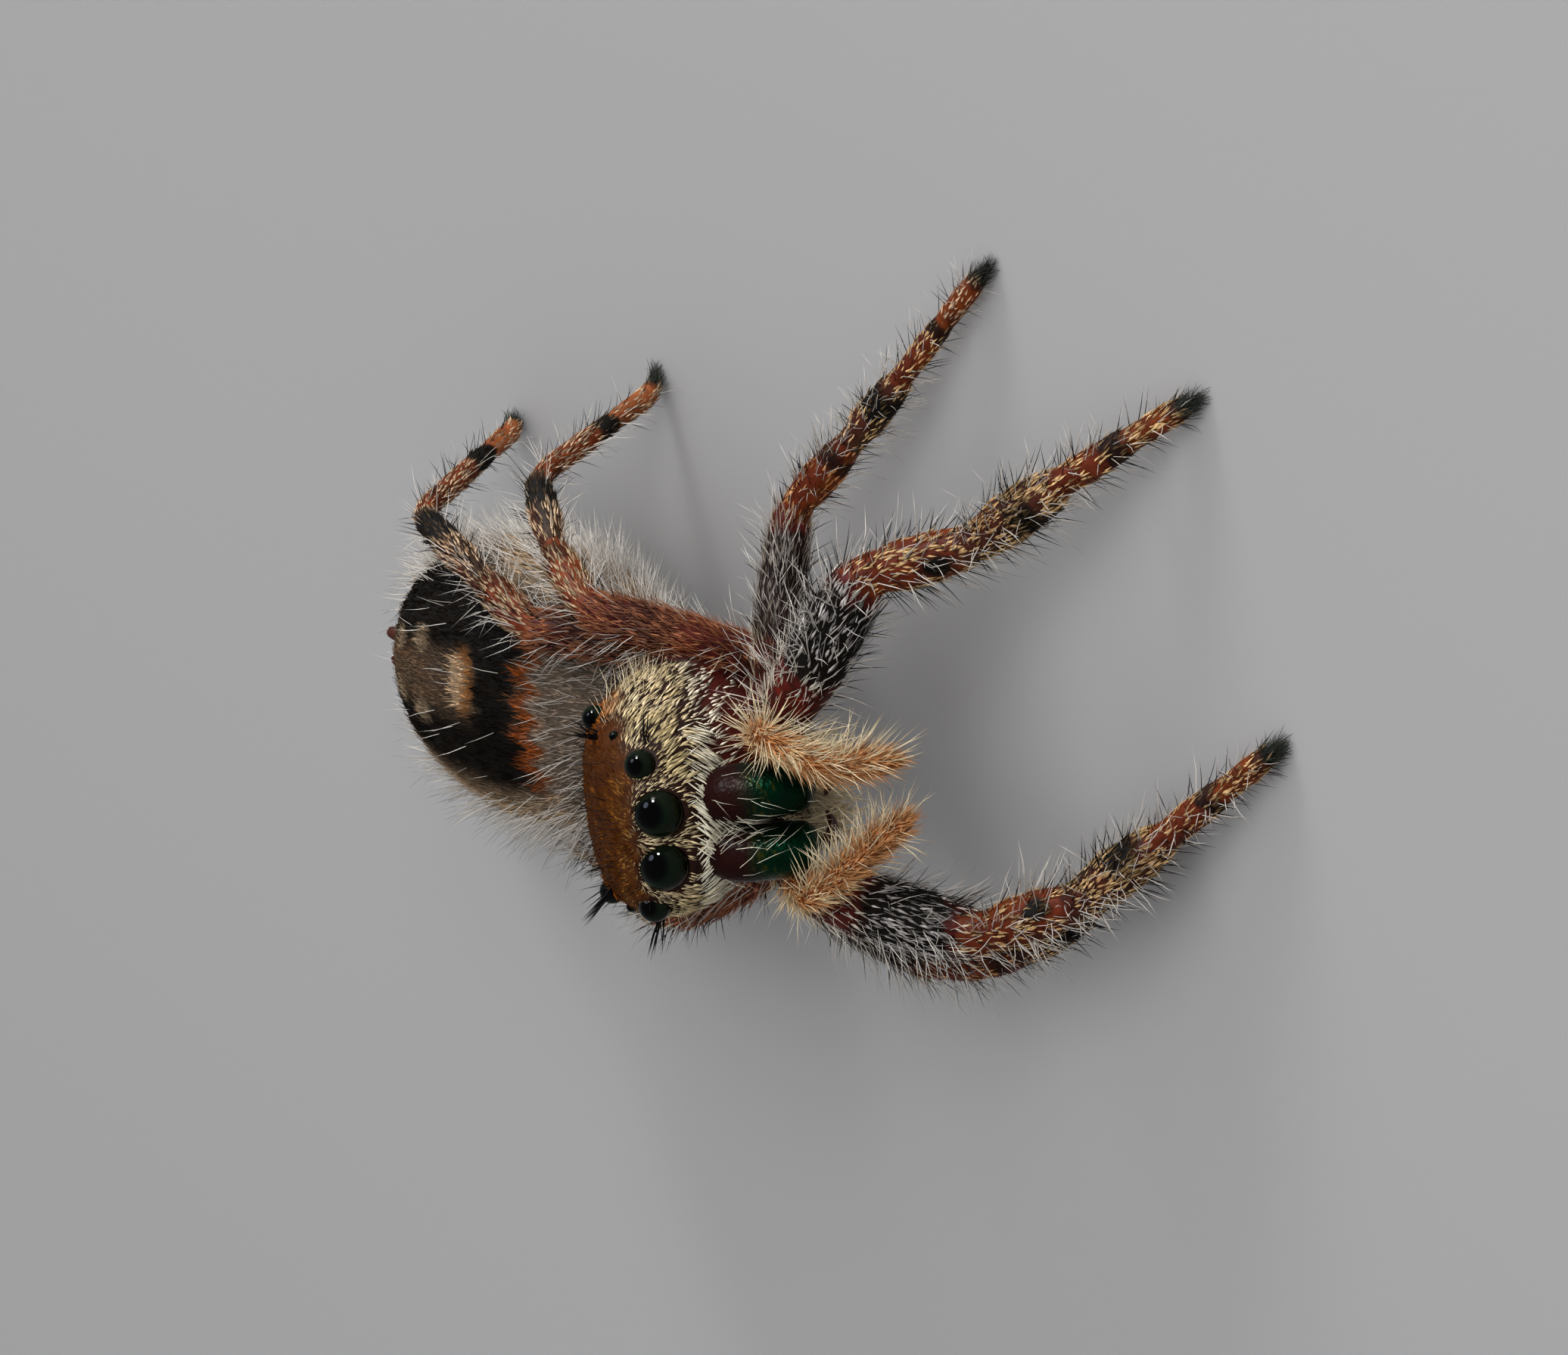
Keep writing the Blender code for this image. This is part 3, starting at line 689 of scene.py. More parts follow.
HIND_LEG = ((MAROON, TAN, 0.15, 0.7), (MAROON, MAUVE, 0.60, 0.5), (RUST, TAN, 0.85, 0.4),
            (UMBER, FAWN, 0.90, 0.4), (RUST, FAWN, 0.85, 0.4), (ORANGE, FAWN, 0.70, 0.5),
            (BLACK, SLATE, 0.1, 0.2))
# Dark rings: start and end station and depth; they start ragged
FORE_RINGS = ((1.38, 1.90, 1.0), (3.50, 3.80, 1.0), (4.74, 4.99, 0.9), (5.80, 6.2, 0.7))
SECOND_RINGS = ((1.22, 1.86, 0.9), (2.70, 2.90, 0.8), (3.52, 3.86, 1.0), (4.80, 5.02, 0.9),
                (5.86, 6.2, 0.7))
HIND_RINGS = ((1.55, 1.88, 0.55), (2.72, 2.92, 0.5), (3.52, 3.90, 1.0), (4.72, 5.00, 1.0),
              (5.86, 6.2, 0.7))


def dress_leg(limb, points, normals):
    """A leg's segments and dark rings, streaked where it is dark, and bare and red near the body."""
    number = int(limb.name[4])
    mark, angle, along, up = limb.places_of(points)
    bands = {1: FORE_LEG, 2: SECOND_LEG}.get(number, HIND_LEG)
    rings = {1: FORE_RINGS, 2: SECOND_RINGS}.get(number, HIND_RINGS)
    above = (normals * up).sum(1)
    ragged = mark + (mottle(points, 0.22, number) - 0.5) * 0.16
    segment = np.clip(ragged, 0, 6.99).astype(int)
    hide, tone, thick, gloss = (np.array(column)[segment] for column in zip(*bands))
    mixed = mottle(points, 0.35, number + 10)
    dark = np.max([depth * band(ragged, start, end) for start, end, depth in rings], axis=0)
    if number == 1:      # dark spots on the front of the knee segment and the shin
        front = (normals * np.cross(up, along)).sum(1) * (-1 if limb.name.endswith("left") else 1)
        dark = dark * (1 - 0.6 * band(mark, 3.3, 4.0) * (1 - eased(-0.2, 0.5, front)))
        dark = np.maximum(dark, oval(mark, front, (2.74, 0.55), (0.13, 0.42), 0.6, 1.2))
    hide = painted(hide, points, (BLACK, 0.45 * eased(0.45, 0.9, mixed)),
                   (MAROON, 0.5 * eased(0.3, 0.9, above) * (mark > 2) * (mark < 5)), (BLACK, dark))
    streaks = eased(0.38, 0.58, mottle(points, 0.10, number + 30)) * (0.45 if number == 2 else 1.0)
    streaked = painted(SLATE, points, (SILVER if number < 3 else MAUVE, streaks))
    tone = painted(tone, points, (RUST, 0.6 * eased(0.45, 0.9, mottle(points, 0.2, number + 20))),
                   (np.where((mark < 2)[:, None], streaked, BLACK), dark * (0.8 + 0.2 * mixed)))
    if number < 3:
        stripes = 0.35 + 0.65 * eased(-0.5, 0.5, np.cos(3 * angle + 0.6) + 0.6 * (mixed - 0.5))
        thick = thick * (1 + (stripes - 1) * band(mark, 2.05, 3.45, 0.1)) + 0.38 * dark * (mark < 2)
    if number == 1:
        bare = band(mark, 0.5, 1.38, 0.12)
        hide = blend(hide, BARE_RED, 0.8 * bare * eased(0.3, 0.7, mixed))
        thick = thick * (1 - 0.9 * bare)
    upper = 1 - eased(1.2, 1.6, mark)
    furred = eased(1.0, 1.3, mark) * (1 - eased(1.86, 2.02, mark))
    joints = np.max([np.exp(-((mark - joint - 0.02) / 0.03) ** 2) for joint in (2, 3, 4, 5)], axis=0)
    fringe = np.interp(mark, (0, 0.7, 1.2, 1.8, 2.5, 3.5, 4.6, 5.6, 6.2),
                       (0.0, 0.15, 0.30, 0.7, 0.9, 0.9, 0.6, 0.4, 0.0)) * (1.0 if number < 3 else 0.6)
    return {
        "hide_tone": blend(hide, DARK_UMBER,
                           0.65 * upper * eased(0.35, 0.7, mottle(points, 0.10, number + 50))),
        "coat_tone": tone,
        "gloss": gloss * (1 - 0.6 * dark) * (1 - 0.3 * upper),
        "scales": (thick * eased(0.9, 1.5, mark) * (1 - 0.35 * dark) * (1 - 0.8 * joints)
                   * eased(0.12, 0.5, mixed + 0.25)),
        "fringe": fringe * (0.07 + 1.25 * np.maximum(eased(0.4, 0.75, np.abs(above)), 0.35 * upper)),
        "bristles": (np.interp(mark, (0.9, 1.3, 2.0, 4.8, 5.8, 6.1), (0.0, 0.4, 1.0, 1.0, 0.6, 0.0))
                     * (0.35 + 0.65 * (above > -0.3))),
        "brush": eased(5.86, 5.98, mark),
        "fuzz": ({1: 0.2, 2: 0.5}.get(number, 0.95) * furred
                 + 0.5 * upper * eased(-0.1, 0.5, normals[:, 1])),
        "reach": (np.interp(mark, (0, 1, 2, 4, 5, 6), (0.8, 1.0, 1.0, 0.95, 0.85, 0.8))
                  * (1.15 if number == 1 else 0.95)),
        "lie": along,
    }


def dress_palp(limb, points, normals):
    """Orange palps with golden hairs, longest on their outer side."""
    mark, _, along, up = limb.places_of(points)
    mixed = mottle(points, 0.18, 3)
    outer = eased(-0.1, 0.7, 0.35 * (normals * up).sum(1) + 0.9 * (normals @ body_turn)[:, 0])
    golden = eased(0.45, 0.7, mixed) * band(mark, 0.6, 2.5, 0.3) + 0.25 * mixed
    return {
        "hide_tone": painted(RUST, points, (ORANGE, 0.4 + 0.6 * mixed)),
        "coat_tone": painted(PALP_ORANGE, points, (PALP_GOLD, golden)),
        "gloss": 0.35,
        "scales": 1.3,
        "veil": (np.interp(mark, (0, 0.4, 0.9, 2.6, 3.5, 3.9), (0.1, 0.6, 0.8, 1.0, 0.8, 0.3))
                 * (0.10 + 1.15 * outer)),
        "plume": np.interp(mark, (0, 0.4, 0.9, 1.6, 3.0, 3.97), (0.3, 0.6, 1.0, 1.0, 1.0, 0.8)),
        "reach": np.interp(mark, (0, 0.6, 1.5, 2.6, 3.97), (0.7, 1.0, 1.1, 1.05, 0.95)),
        "lie": along,
    }


def dress_head(points, normals):
    """Rust top, golden cheeks, a white band under the eyes, and bundles of bristles beside them."""
    place, facing = in_body(points), normals @ body_turn
    x, y, z = place.T
    side, aside = np.sign(x), np.abs(x)
    mixed, fine = mottle(place, 0.5, 5), mottle(place, 0.13, 6)
    top = eased(0.28, 0.78, facing[:, 2] + 0.35 * (mottle(place, 0.16, 12) - 0.5)) * eased(0.9, 1.6, z)
    front = eased(0.3, 0.8, -facing[:, 1])
    rear = eased(0.2, 1.4, y)
    margin = 1 - eased(-0.05, 0.45, z + 0.12 * (mixed - 0.5))
    face = 1 - eased(1.45, 1.75, aside)
    gaps = {kind: np.linalg.norm(np.stack([aside, y, z], 1) - middle, axis=1) - radius
            for kind, (*middle, radius) in EYES.items()}
    brow = 1 - eased(0.05, 0.42, np.minimum(gaps["eye_front_middle"], gaps["eye_front_side"]))
    hide = painted(DARK_UMBER, place, (HEAD_RUST, top * (1 - 0.5 * rear) * (0.6 + 0.4 * mixed)),
                   (MAROON, margin * (1 - top) * 0.8))
    tone = painted(CREAM, place, (GOLD, 0.35 + 0.4 * fine), (OLD_GOLD, 0.55 * eased(0.45, 0.85, mixed)),
                   (HEAD_RUST, eased(0.0, 0.85, top) * (1 - rear)),
                   (HEAD_GRANULES, top * (1 - rear) * eased(0.62, 0.85, fine) * 0.6),
                   (DARK_UMBER, top * eased(0.45, 0.15, fine) * 0.6),
                   (BROW_GOLD, top * brow * eased(0.35, 0.6, fine) * 0.8),
                   (BROW_ORANGE, top * eased(0.9, 1.4, aside) * eased(-1.9, -1.3, y) * 0.6),
                   (IVORY, (1 - top) * (1 - eased(0.30, 0.75, z)) * 0.85),
                   (HEAD_REAR, rear * top * 0.9),
                   (REAR_EYE_ORANGE, 0.8 * (1 - eased(0.1, 0.4, gaps["eye_rear"]))))
    rows = 0.5 + 0.5 * np.sin(17 * z + 5 * y + 2 * mixed)
    scales = (1 - top) * ((1 - margin) * (1 - 0.8 * (1 - eased(0.75, 1.05, z)) * (1 - rows))
                          + 0.16 * margin * eased(0.3, 0.8, rows)) + top * 2.2
    scales *= 1 - 0.75 * rear * (1 - top)
    short = np.ones(len(x))
    for kind, gap in gaps.items():
        near = 1 - eased(0.06, 0.30, gap)
        scales *= eased(0.97, 1.04, 1 + gap / EYES[kind][3]) * (1 + 1.2 * near)
        short *= 1 + (0.35 if kind == "eye_rear" else -0.55) * near
    scales *= 1 - 0.9 * front * band(z, 0.30, 0.87, 0.04) * face
    veil = band(z, *WHITE_BAND, 0.06) * eased(-0.05, 0.35, -facing[:, 1] - 0.2 * facing[:, 2]) * face
    reach = (0.85 + 0.3 * front) * (1 - 0.5 * top) * (short + (1 - short) * veil)
    fall = np.where(top > 0.5, 0.0, -0.75) - 0.2 * front + 0.5 * (mottle(place, 0.45, 41) - 0.5)
    lie = np.stack([side * (0.15 + 0.10 * front), 0.75 - 0.2 * front, fall], 1)
    medial = 0.55 - 1.30 * eased(-0.34, -0.16, x)
    lie = blend(lie, np.stack([medial, 0 * x, 0 * x - 0.75], 1), eased(0.1, 0.5, veil))
    lash = np.zeros(len(x))
    for root, aim, size in LASHES:
        centre = place[np.linalg.norm(place - root, axis=1).argmin()]
        target = centre + LASH_FOCUS * unit(np.array(aim))
        near = 1 - eased(*LASH_BED, np.linalg.norm(place - centre, axis=1))
        lash = np.maximum(lash, near)
        lie = blend(lie, target - place, eased(0.1, 0.5, near))
        reach = reach + (size - reach) * eased(0, 0.1, near)
    return {
        "hide_tone": hide, "coat_tone": tone, "gloss": (0.15 + 0.6 * margin) * (1 - top),
        "scales": scales, "bristles": top * (0.7 + 0.8 * rear), "veil": veil, "lash": lash,
        "fringe": 0.8 * rear + 0.2 * margin + 1.3 * (1 - top) * eased(-1.9, -0.9, y) * eased(0.6, 1.3, z),
        "reach": reach, "lie": turned(lie),
    }


def dress_abdomen(points):
    """Grey front, orange border, black patches with pale spots, and long pale hairs on the flanks."""
    start, along, across, up = abdomen_frame()
    offset = points - start
    u = offset @ along / ABDOMEN_LENGTH
    turn = np.degrees(np.arctan2(offset @ across / ABDOMEN_HALF_WIDTH, offset @ up / ABDOMEN_HALF_HEIGHT))
    a = turn - 12                # the back's middle line is rolled a little to the left
    away = np.abs(a)
    mixed, fine = mottle(points, 0.8, 7), mottle(points, 0.22, 8)
    sawn = u - 0.1 * np.abs((a / 14) % 1 - 0.5)
    wavy = u + 0.05 * (mixed - 0.5)
    back = 1 - eased(44, 62, away + 14 * (mixed - 0.5))
    front = 1 - eased(0.27, 0.31, sawn)
    black = np.max([band(away, 13, 42, 7) * band(wavy, 0.34, 0.90),
                    band(a, 30, 66, 8) * band(wavy, 0.55, 0.93) * eased(0.48, 0.62, u),
                    (1 - eased(38, 50, away)) * band(sawn, 0.345, 0.49, 0.02)], axis=0)
    tone = painted(TAN, points, (GREY, 0.5 * eased(0.3, 0.8, mixed)), (FAWN, 0.6 * fine),
                   (UMBER, 0.8 * back * eased(0.30, 0.36, u)),
                   (BACK_BROWN, back * eased(0.5, 0.8, u) * 0.8 * eased(0.35, 0.7, fine)),
                   (BLACK, black * (0.93 + 0.07 * fine)),
                   (BACK_BORDER, (1 - eased(36, 52, away)) * band(sawn, 0.292, 0.335, 0.018)),
                   (BACK_FLAME, 0.9 * oval(u, a, (0.540, 3), (0.032, 15), 0.6, 1.3)),
                   (BACK_SPOT, oval(u, a, (0.565, 3), (0.034, 12), 0.7, 1.3)),
                   (TAN, 0.6 * oval(u, away, (0.72, 17), (0.035, 7), 0.5, 1.3)),
                   (TAN, 0.6 * oval(u, away, (0.83, 15), (0.03, 7), 0.5, 1.3)),
                   (BACK_FRONT, front * (0.65 + 0.35 * fine) * (1 - eased(60, 100, away))),
                   (BELLY_BROWN, 0.8 * eased(120, 150, np.abs(turn))))
    flank = eased(50, 75, away) * (1 - eased(115, 140, away))
    return {
        "hide_tone": blend(tone * 0.45, BLACK, 0.25), "coat_tone": tone, "gloss": 0.15, "fuzz": 1.6,
        "scales": 0.35,          # read only by the waist's scales, along their seam with the abdomen
        "fringe": 1.3 * eased(40, 75, away) + 1.6 * flank + 0.7 * front + 0.06,
        "reach": 1.0 + 0.55 * flank * eased(0.1, 0.3, u), "lie": along,
    }


def dress_plainly(name, limb, points):
    """Maxillae with bushy hair, and a thin coat on the waist and the spinnerets."""
    bushy = name.startswith("maxilla")
    return {
        "hide_tone": painted(UMBER, points, (MAROON, 0.5)), "coat_tone": CREAM if bushy else TAN,
        "scales": 0.1 if name == "pedicel" else 0.5, "plume": 2.0 * bushy, "lash": 1.0 * bushy,
        "lie": limb.places_of(points)[2] if limb else turned((0, -0.5, -1.0)),
    }


def dress(skin, names, owner, limbs):
    """The coat of the whole skin, part by part."""
    coat = fresh_coat(len(owner))
    points, normals = points_of(skin), normals_of(skin)
    for i, name in enumerate(names):
        mine = np.flatnonzero(owner == i)
        if not len(mine):
            continue
        here, facing = points[mine], normals[mine]
        if name.startswith("leg"):
            worn = dress_leg(limbs[name], here, facing)
        elif name.startswith("palp"):
            worn = dress_palp(limbs[name], here, facing)
        elif name == "carapace":
            worn = dress_head(here, facing)
        elif name == "abdomen":
            worn = dress_abdomen(here)
        else:
            worn = dress_plainly(name, limbs.get(name), here)
        for layer, values in worn.items():
            coat[layer][mine] = values
    return coat


def keep(mesh, name, kind, values, domain="POINT"):
    """Stores values on a mesh as an attribute."""
    attribute = mesh.attributes.new(name, kind, domain)
    if kind == "FLOAT_COLOR":
        values = np.pad(values, ((0, 0), (0, 1)), constant_values=1.0)
    field = {"FLOAT_COLOR": "color", "FLOAT_VECTOR": "vector"}.get(kind, "value")
    attribute.data.foreach_set(field, np.ravel(values))


def wear(mesh, coat, place):
    """Puts a coat on a mesh as attributes, and the places of its corners on the map."""
    for name, values in coat.items():
        plain = "FLOAT_VECTOR" if name == "lie" else "FLOAT"
        keep(mesh, name, "FLOAT_COLOR" if name.endswith("tone") else plain, values)
    keep(mesh, "place", "FLOAT_VECTOR", np.pad(place, ((0, 0), (0, 1))), "CORNER")


# ------------------------------------------------------------------------------------------
# Hairs and scales
# ------------------------------------------------------------------------------------------
# Tufts: name, number of sides, curl, and rings of share along, half width and half depth
TUFTS = (
    ("flat_scale", 4, -0.03, (0.38, 0.085, 0.03)), ("broad_scale", 4, -0.06, (0.35, 0.065, 0.028)),
    ("fine_hair", 3, 0.14, (0.05, 0.012, 0.012), (0.5, 0.010, 0.010)),
    ("soft_hair", 3, -0.22, (0.04, 0.018, 0.018), (0.35, 0.017, 0.017), (0.7, 0.011, 0.011)),
    ("stiff_hair", 3, 0.08, (0.04, 0.017, 0.017), (0.5, 0.012, 0.012)),
    ("veil_hair", 3, -0.20, (0.05, 0.014, 0.012), (0.4, 0.017, 0.012), (0.75, 0.011, 0.008)),
    ("lash_hair", 4, 0.10, (0.04, 0.022, 0.022), (0.5, 0.017, 0.017)),
    ("band_hair", 4, -0.12, (0.08, 0.018, 0.012), (0.45, 0.029, 0.014)),
    ("jaw_hair", 3, -0.30, (0.05, 0.009, 0.008), (0.5, 0.008, 0.007)),
)
# Looks of hairs: name of the material, roughness, specular, contrast, own tint or none for the coat's
HAIR_LOOKS = (
    ("scale", 0.5, 0.0, 0.55, None),
    ("fur", 0.6, 0.0, 0.45, None),
    ("pale_hair", 0.45, 0.12, 0.25, (0.66, 0.61, 0.55)),
    ("cream_hair", 0.45, 0.12, 0.25, (0.84, 0.70, 0.46)),
    ("ivory_hair", 0.42, 0.12, 0.3, (0.92, 0.86, 0.68)),
    ("dark_bristle", 0.4, 0.04, 0.3, (0.006, 0.005, 0.005)),
    ("claw_brush", 0.6, 0.03, 0.6, (0.045, 0.050, 0.040)),
)
# Beds: the parts of the skin that each group of coats grows on
BEDS = {"legs": ("leg", "pedicel"), "palps": ("palp", "maxilla"), "head": ("carapace",),
        "abdomen": ("abdomen", "spinneret")}
# The tree's inputs that a coat's row gives, in its order
MEASURES = ("Density", "Length", "Lift", "Lift Spread", "Sweep", "Roll")
# Coats: name, bed, look, growth, tuft, density, length, lift and its spread, sweep, roll, seed
COATS = (
    ("leg_scales_a", "legs", "scale", "scales", "flat_scale", 95, 0.25, 0.14, 0.08, 0.25, 0.3, 11),
    ("leg_scales_b", "legs", "scale", "scales", "flat_scale", 85, 0.22, 0.24, 0.14, 0.35, 0.5, 12),
    ("leg_fringe", "legs", "pale_hair", "fringe", "fine_hair", 44, 0.68, 0.85, 0.45, 0.6, 3.1, 13),
    ("leg_fur", "legs", "fur", "fuzz", "soft_hair", 130, 0.40, 0.38, 0.20, 0.4, 0.8, 14),
    ("leg_bristles", "legs", "dark_bristle", "bristles", "stiff_hair", 26, 0.50, 0.80, 0.25, 0.4, 1.0, 15),
    ("claw_brush", "legs", "claw_brush", "brush", "soft_hair", 560, 0.34, 0.50, 0.35, 0.6, 1.5, 16),
    ("palp_scales", "palps", "scale", "scales", "flat_scale", 150, 0.22, 0.40, 0.20, 0.4, 0.4, 21),
    ("palp_fur", "palps", "fur", "plume", "soft_hair", 330, 0.38, 0.55, 0.35, 0.5, 1.5, 22),
    ("palp_plume", "palps", "cream_hair", "veil", "fine_hair", 165, 0.75, 0.80, 0.35, 0.6, 1.5, 23),
    ("maxilla_hair", "palps", "cream_hair", "lash", "veil_hair", 110, 0.85, 0.45, 0.35, 0.5, 1.5, 24),
    ("head_scales_a", "head", "scale", "scales", "broad_scale", 100, 0.30, 0.12, 0.06, 0.15, 0.25, 31),
    ("head_scales_b", "head", "scale", "scales", "broad_scale", 100, 0.34, 0.20, 0.08, 0.22, 0.4, 32),
    ("head_bristles", "head", "dark_bristle", "bristles", "stiff_hair", 26, 0.80, 1.0, 0.3, 0.8, 1.0, 33),
    ("head_fringe", "head", "cream_hair", "fringe", "fine_hair", 30, 0.55, 0.9, 0.3, 0.5, 1.0, 34),
    ("face_veil", "head", "ivory_hair", "veil", "band_hair", 165, 0.48, 0.22, 0.10, 0.18, 0.5, 35),
    ("eye_lashes", "head", "dark_bristle", "lash", "lash_hair", 700, 0.80, 1.12, 0.06, 0.10, 0.5, 36),
    ("abdomen_fur", "abdomen", "fur", "fuzz", "soft_hair", 78, 0.30, 0.30, 0.2, 0.4, 0.6, 41),
    ("abdomen_scales", "abdomen", "scale", "fuzz", "flat_scale", 90, 0.20, 0.14, 0.1, 0.4, 0.4, 42),
    ("abdomen_fringe", "abdomen", "pale_hair", "fringe", "fine_hair", 26, 0.58, 0.6, 0.3, 0.5, 2.0, 43),
)
JAW_COATS = (
    ("jaw_hairs_left", "jaw_left", "ivory_hair", "fringe", "jaw_hair", 40, 0.60, 0.24, 0.2, 0.3, 1.0, 51),
    ("jaw_hairs_right", "jaw_right", "ivory_hair", "fringe", "jaw_hair", 40, 0.60, 0.24, 0.2, 0.3, 1.0, 52),
)
SCALE_DEPTH, HAIR_DEPTH = 0.008, 0.01        # how deep a tuft's root sits in the skin
KEPT_ON_TUFTS = {"coat_tone", "tuft_shade", "OFBake"}
DROPPED_FROM_SKIN = GROWTHS + ("place", "lie", "reach", "coat_tone")


def tuft(name, sides, curl, *rings):
    """A closed spindle one unit long."""
    points, faces = [(0.0, 0.0, 0.0)], []
    for share, wide, deep in rings:
        for i in range(sides):
            angle = 2 * math.pi * i / sides
            points.append((deep * math.cos(angle) + curl * share**2, wide * math.sin(angle), share))
    points.append((curl, 0.0, 1.0))
    tip = len(points) - 1
    for i in range(sides):
        j = (i + 1) % sides
        faces.append((0, 1 + j, 1 + i))
        for base in range(1, 1 + (len(rings) - 1) * sides, sides):
            faces.append((base + i, base + j, base + sides + j, base + sides + i))
        faces.append((tip - sides + i, tip - sides + j, tip))
    mesh = mesh_of(name, [(np.array(points), faces)])
    spread = mesh.uv_layers.new(name="leaf")
    width = max(wide for _, wide, _ in rings)
    for loop in mesh.loops:
        x, y, z = mesh.vertices[loop.vertex_index].co
        spread.data[loop.index].uv = (0.5 + 0.45 * y / width + 0.05 * (x > curl * z * z), z)
    return added(name, mesh)


class Nodes:
    """Short ways to add nodes to a tree and to join them."""

    def __init__(self, tree):
        self.tree = tree

    def entry(self, name, kind, value=None, in_out="INPUT"):
        """A named input or output of the tree; returns its identifier."""
        socket = self.tree.interface.new_socket(name=name, in_out=in_out, socket_type=kind)
        if value is not None:
            socket.default_value = value
        return socket.identifier

    def fill(self, node, values):
        """Sets a node's inputs, given by name or number, or joins them to other nodes."""
        for name, value in values.items():
            target = node.inputs[name] if isinstance(name, int) else socket_of(node.inputs, name)
            if isinstance(value, bpy.types.NodeSocket):
                self.tree.links.new(value, target)
            else:
                target.default_value = value

    def add(self, kind, values=None, output=None, **settings):
        """Adds a node and returns one of its outputs, by default the first."""
        node = self.tree.nodes.new(kind)
        for setting, value in settings.items():
            setattr(node, setting, value)
        self.fill(node, values or {})
        return socket_of(node.outputs, output) if node.outputs else None

    def math(self, operation, *values):
        return self.add("ShaderNodeMath", dict(enumerate(values)), operation=operation)

    def vector(self, operation, *values, output="Vector"):
        return self.add("ShaderNodeVectorMath", dict(enumerate(values)), output, operation=operation)

    def scaled(self, vector, scale):
        return self.add("ShaderNodeVectorMath", {0: vector, "Scale": scale}, "Vector", operation="SCALE")

    def shade(self, value, least, most, **ends):
        """Maps a value from 0 to 1, or between other ends, to a range."""
        ends = {name.replace("_", " "): end for name, end in ends.items()}
        return self.add("ShaderNodeMapRange", {"Value": value, "To Min": least, "To Max": most} | ends)

    def noise(self, scale, **more):
        """Clouds that stay with the piece, as a value from 0 to 1."""
        place = self.add("ShaderNodeTexCoord", output="Object")
        return self.add("ShaderNodeTexNoise", {"Vector": place, "Scale": scale} | more)

    def attribute(self, name, output):
        return self.add("ShaderNodeAttribute", output=output, attribute_name=name)

    def mix(self, share, first, second):
        """Mixes two colours; each is three numbers or a socket."""
        first, second = ((*tone, 1.0) if isinstance(tone, tuple) else tone for tone in (first, second))
        return self.add("ShaderNodeMix", {"Factor": share, "A": first, "B": second}, data_type="RGBA")

    def relief(self, grain, size, strength, distance):
        """A bump from the shared grain."""
        height = self.add("ShaderNodeGroup", {"Size": size}, node_tree=grain)
        return self.add("ShaderNodeBump", {"Height": height, "Strength": strength, "Distance": distance})


def socket_of(sockets, name=None):
    """The first socket in use, or the first of a name."""
    return next(socket for socket in sockets if socket.enabled and name in (None, socket.name))


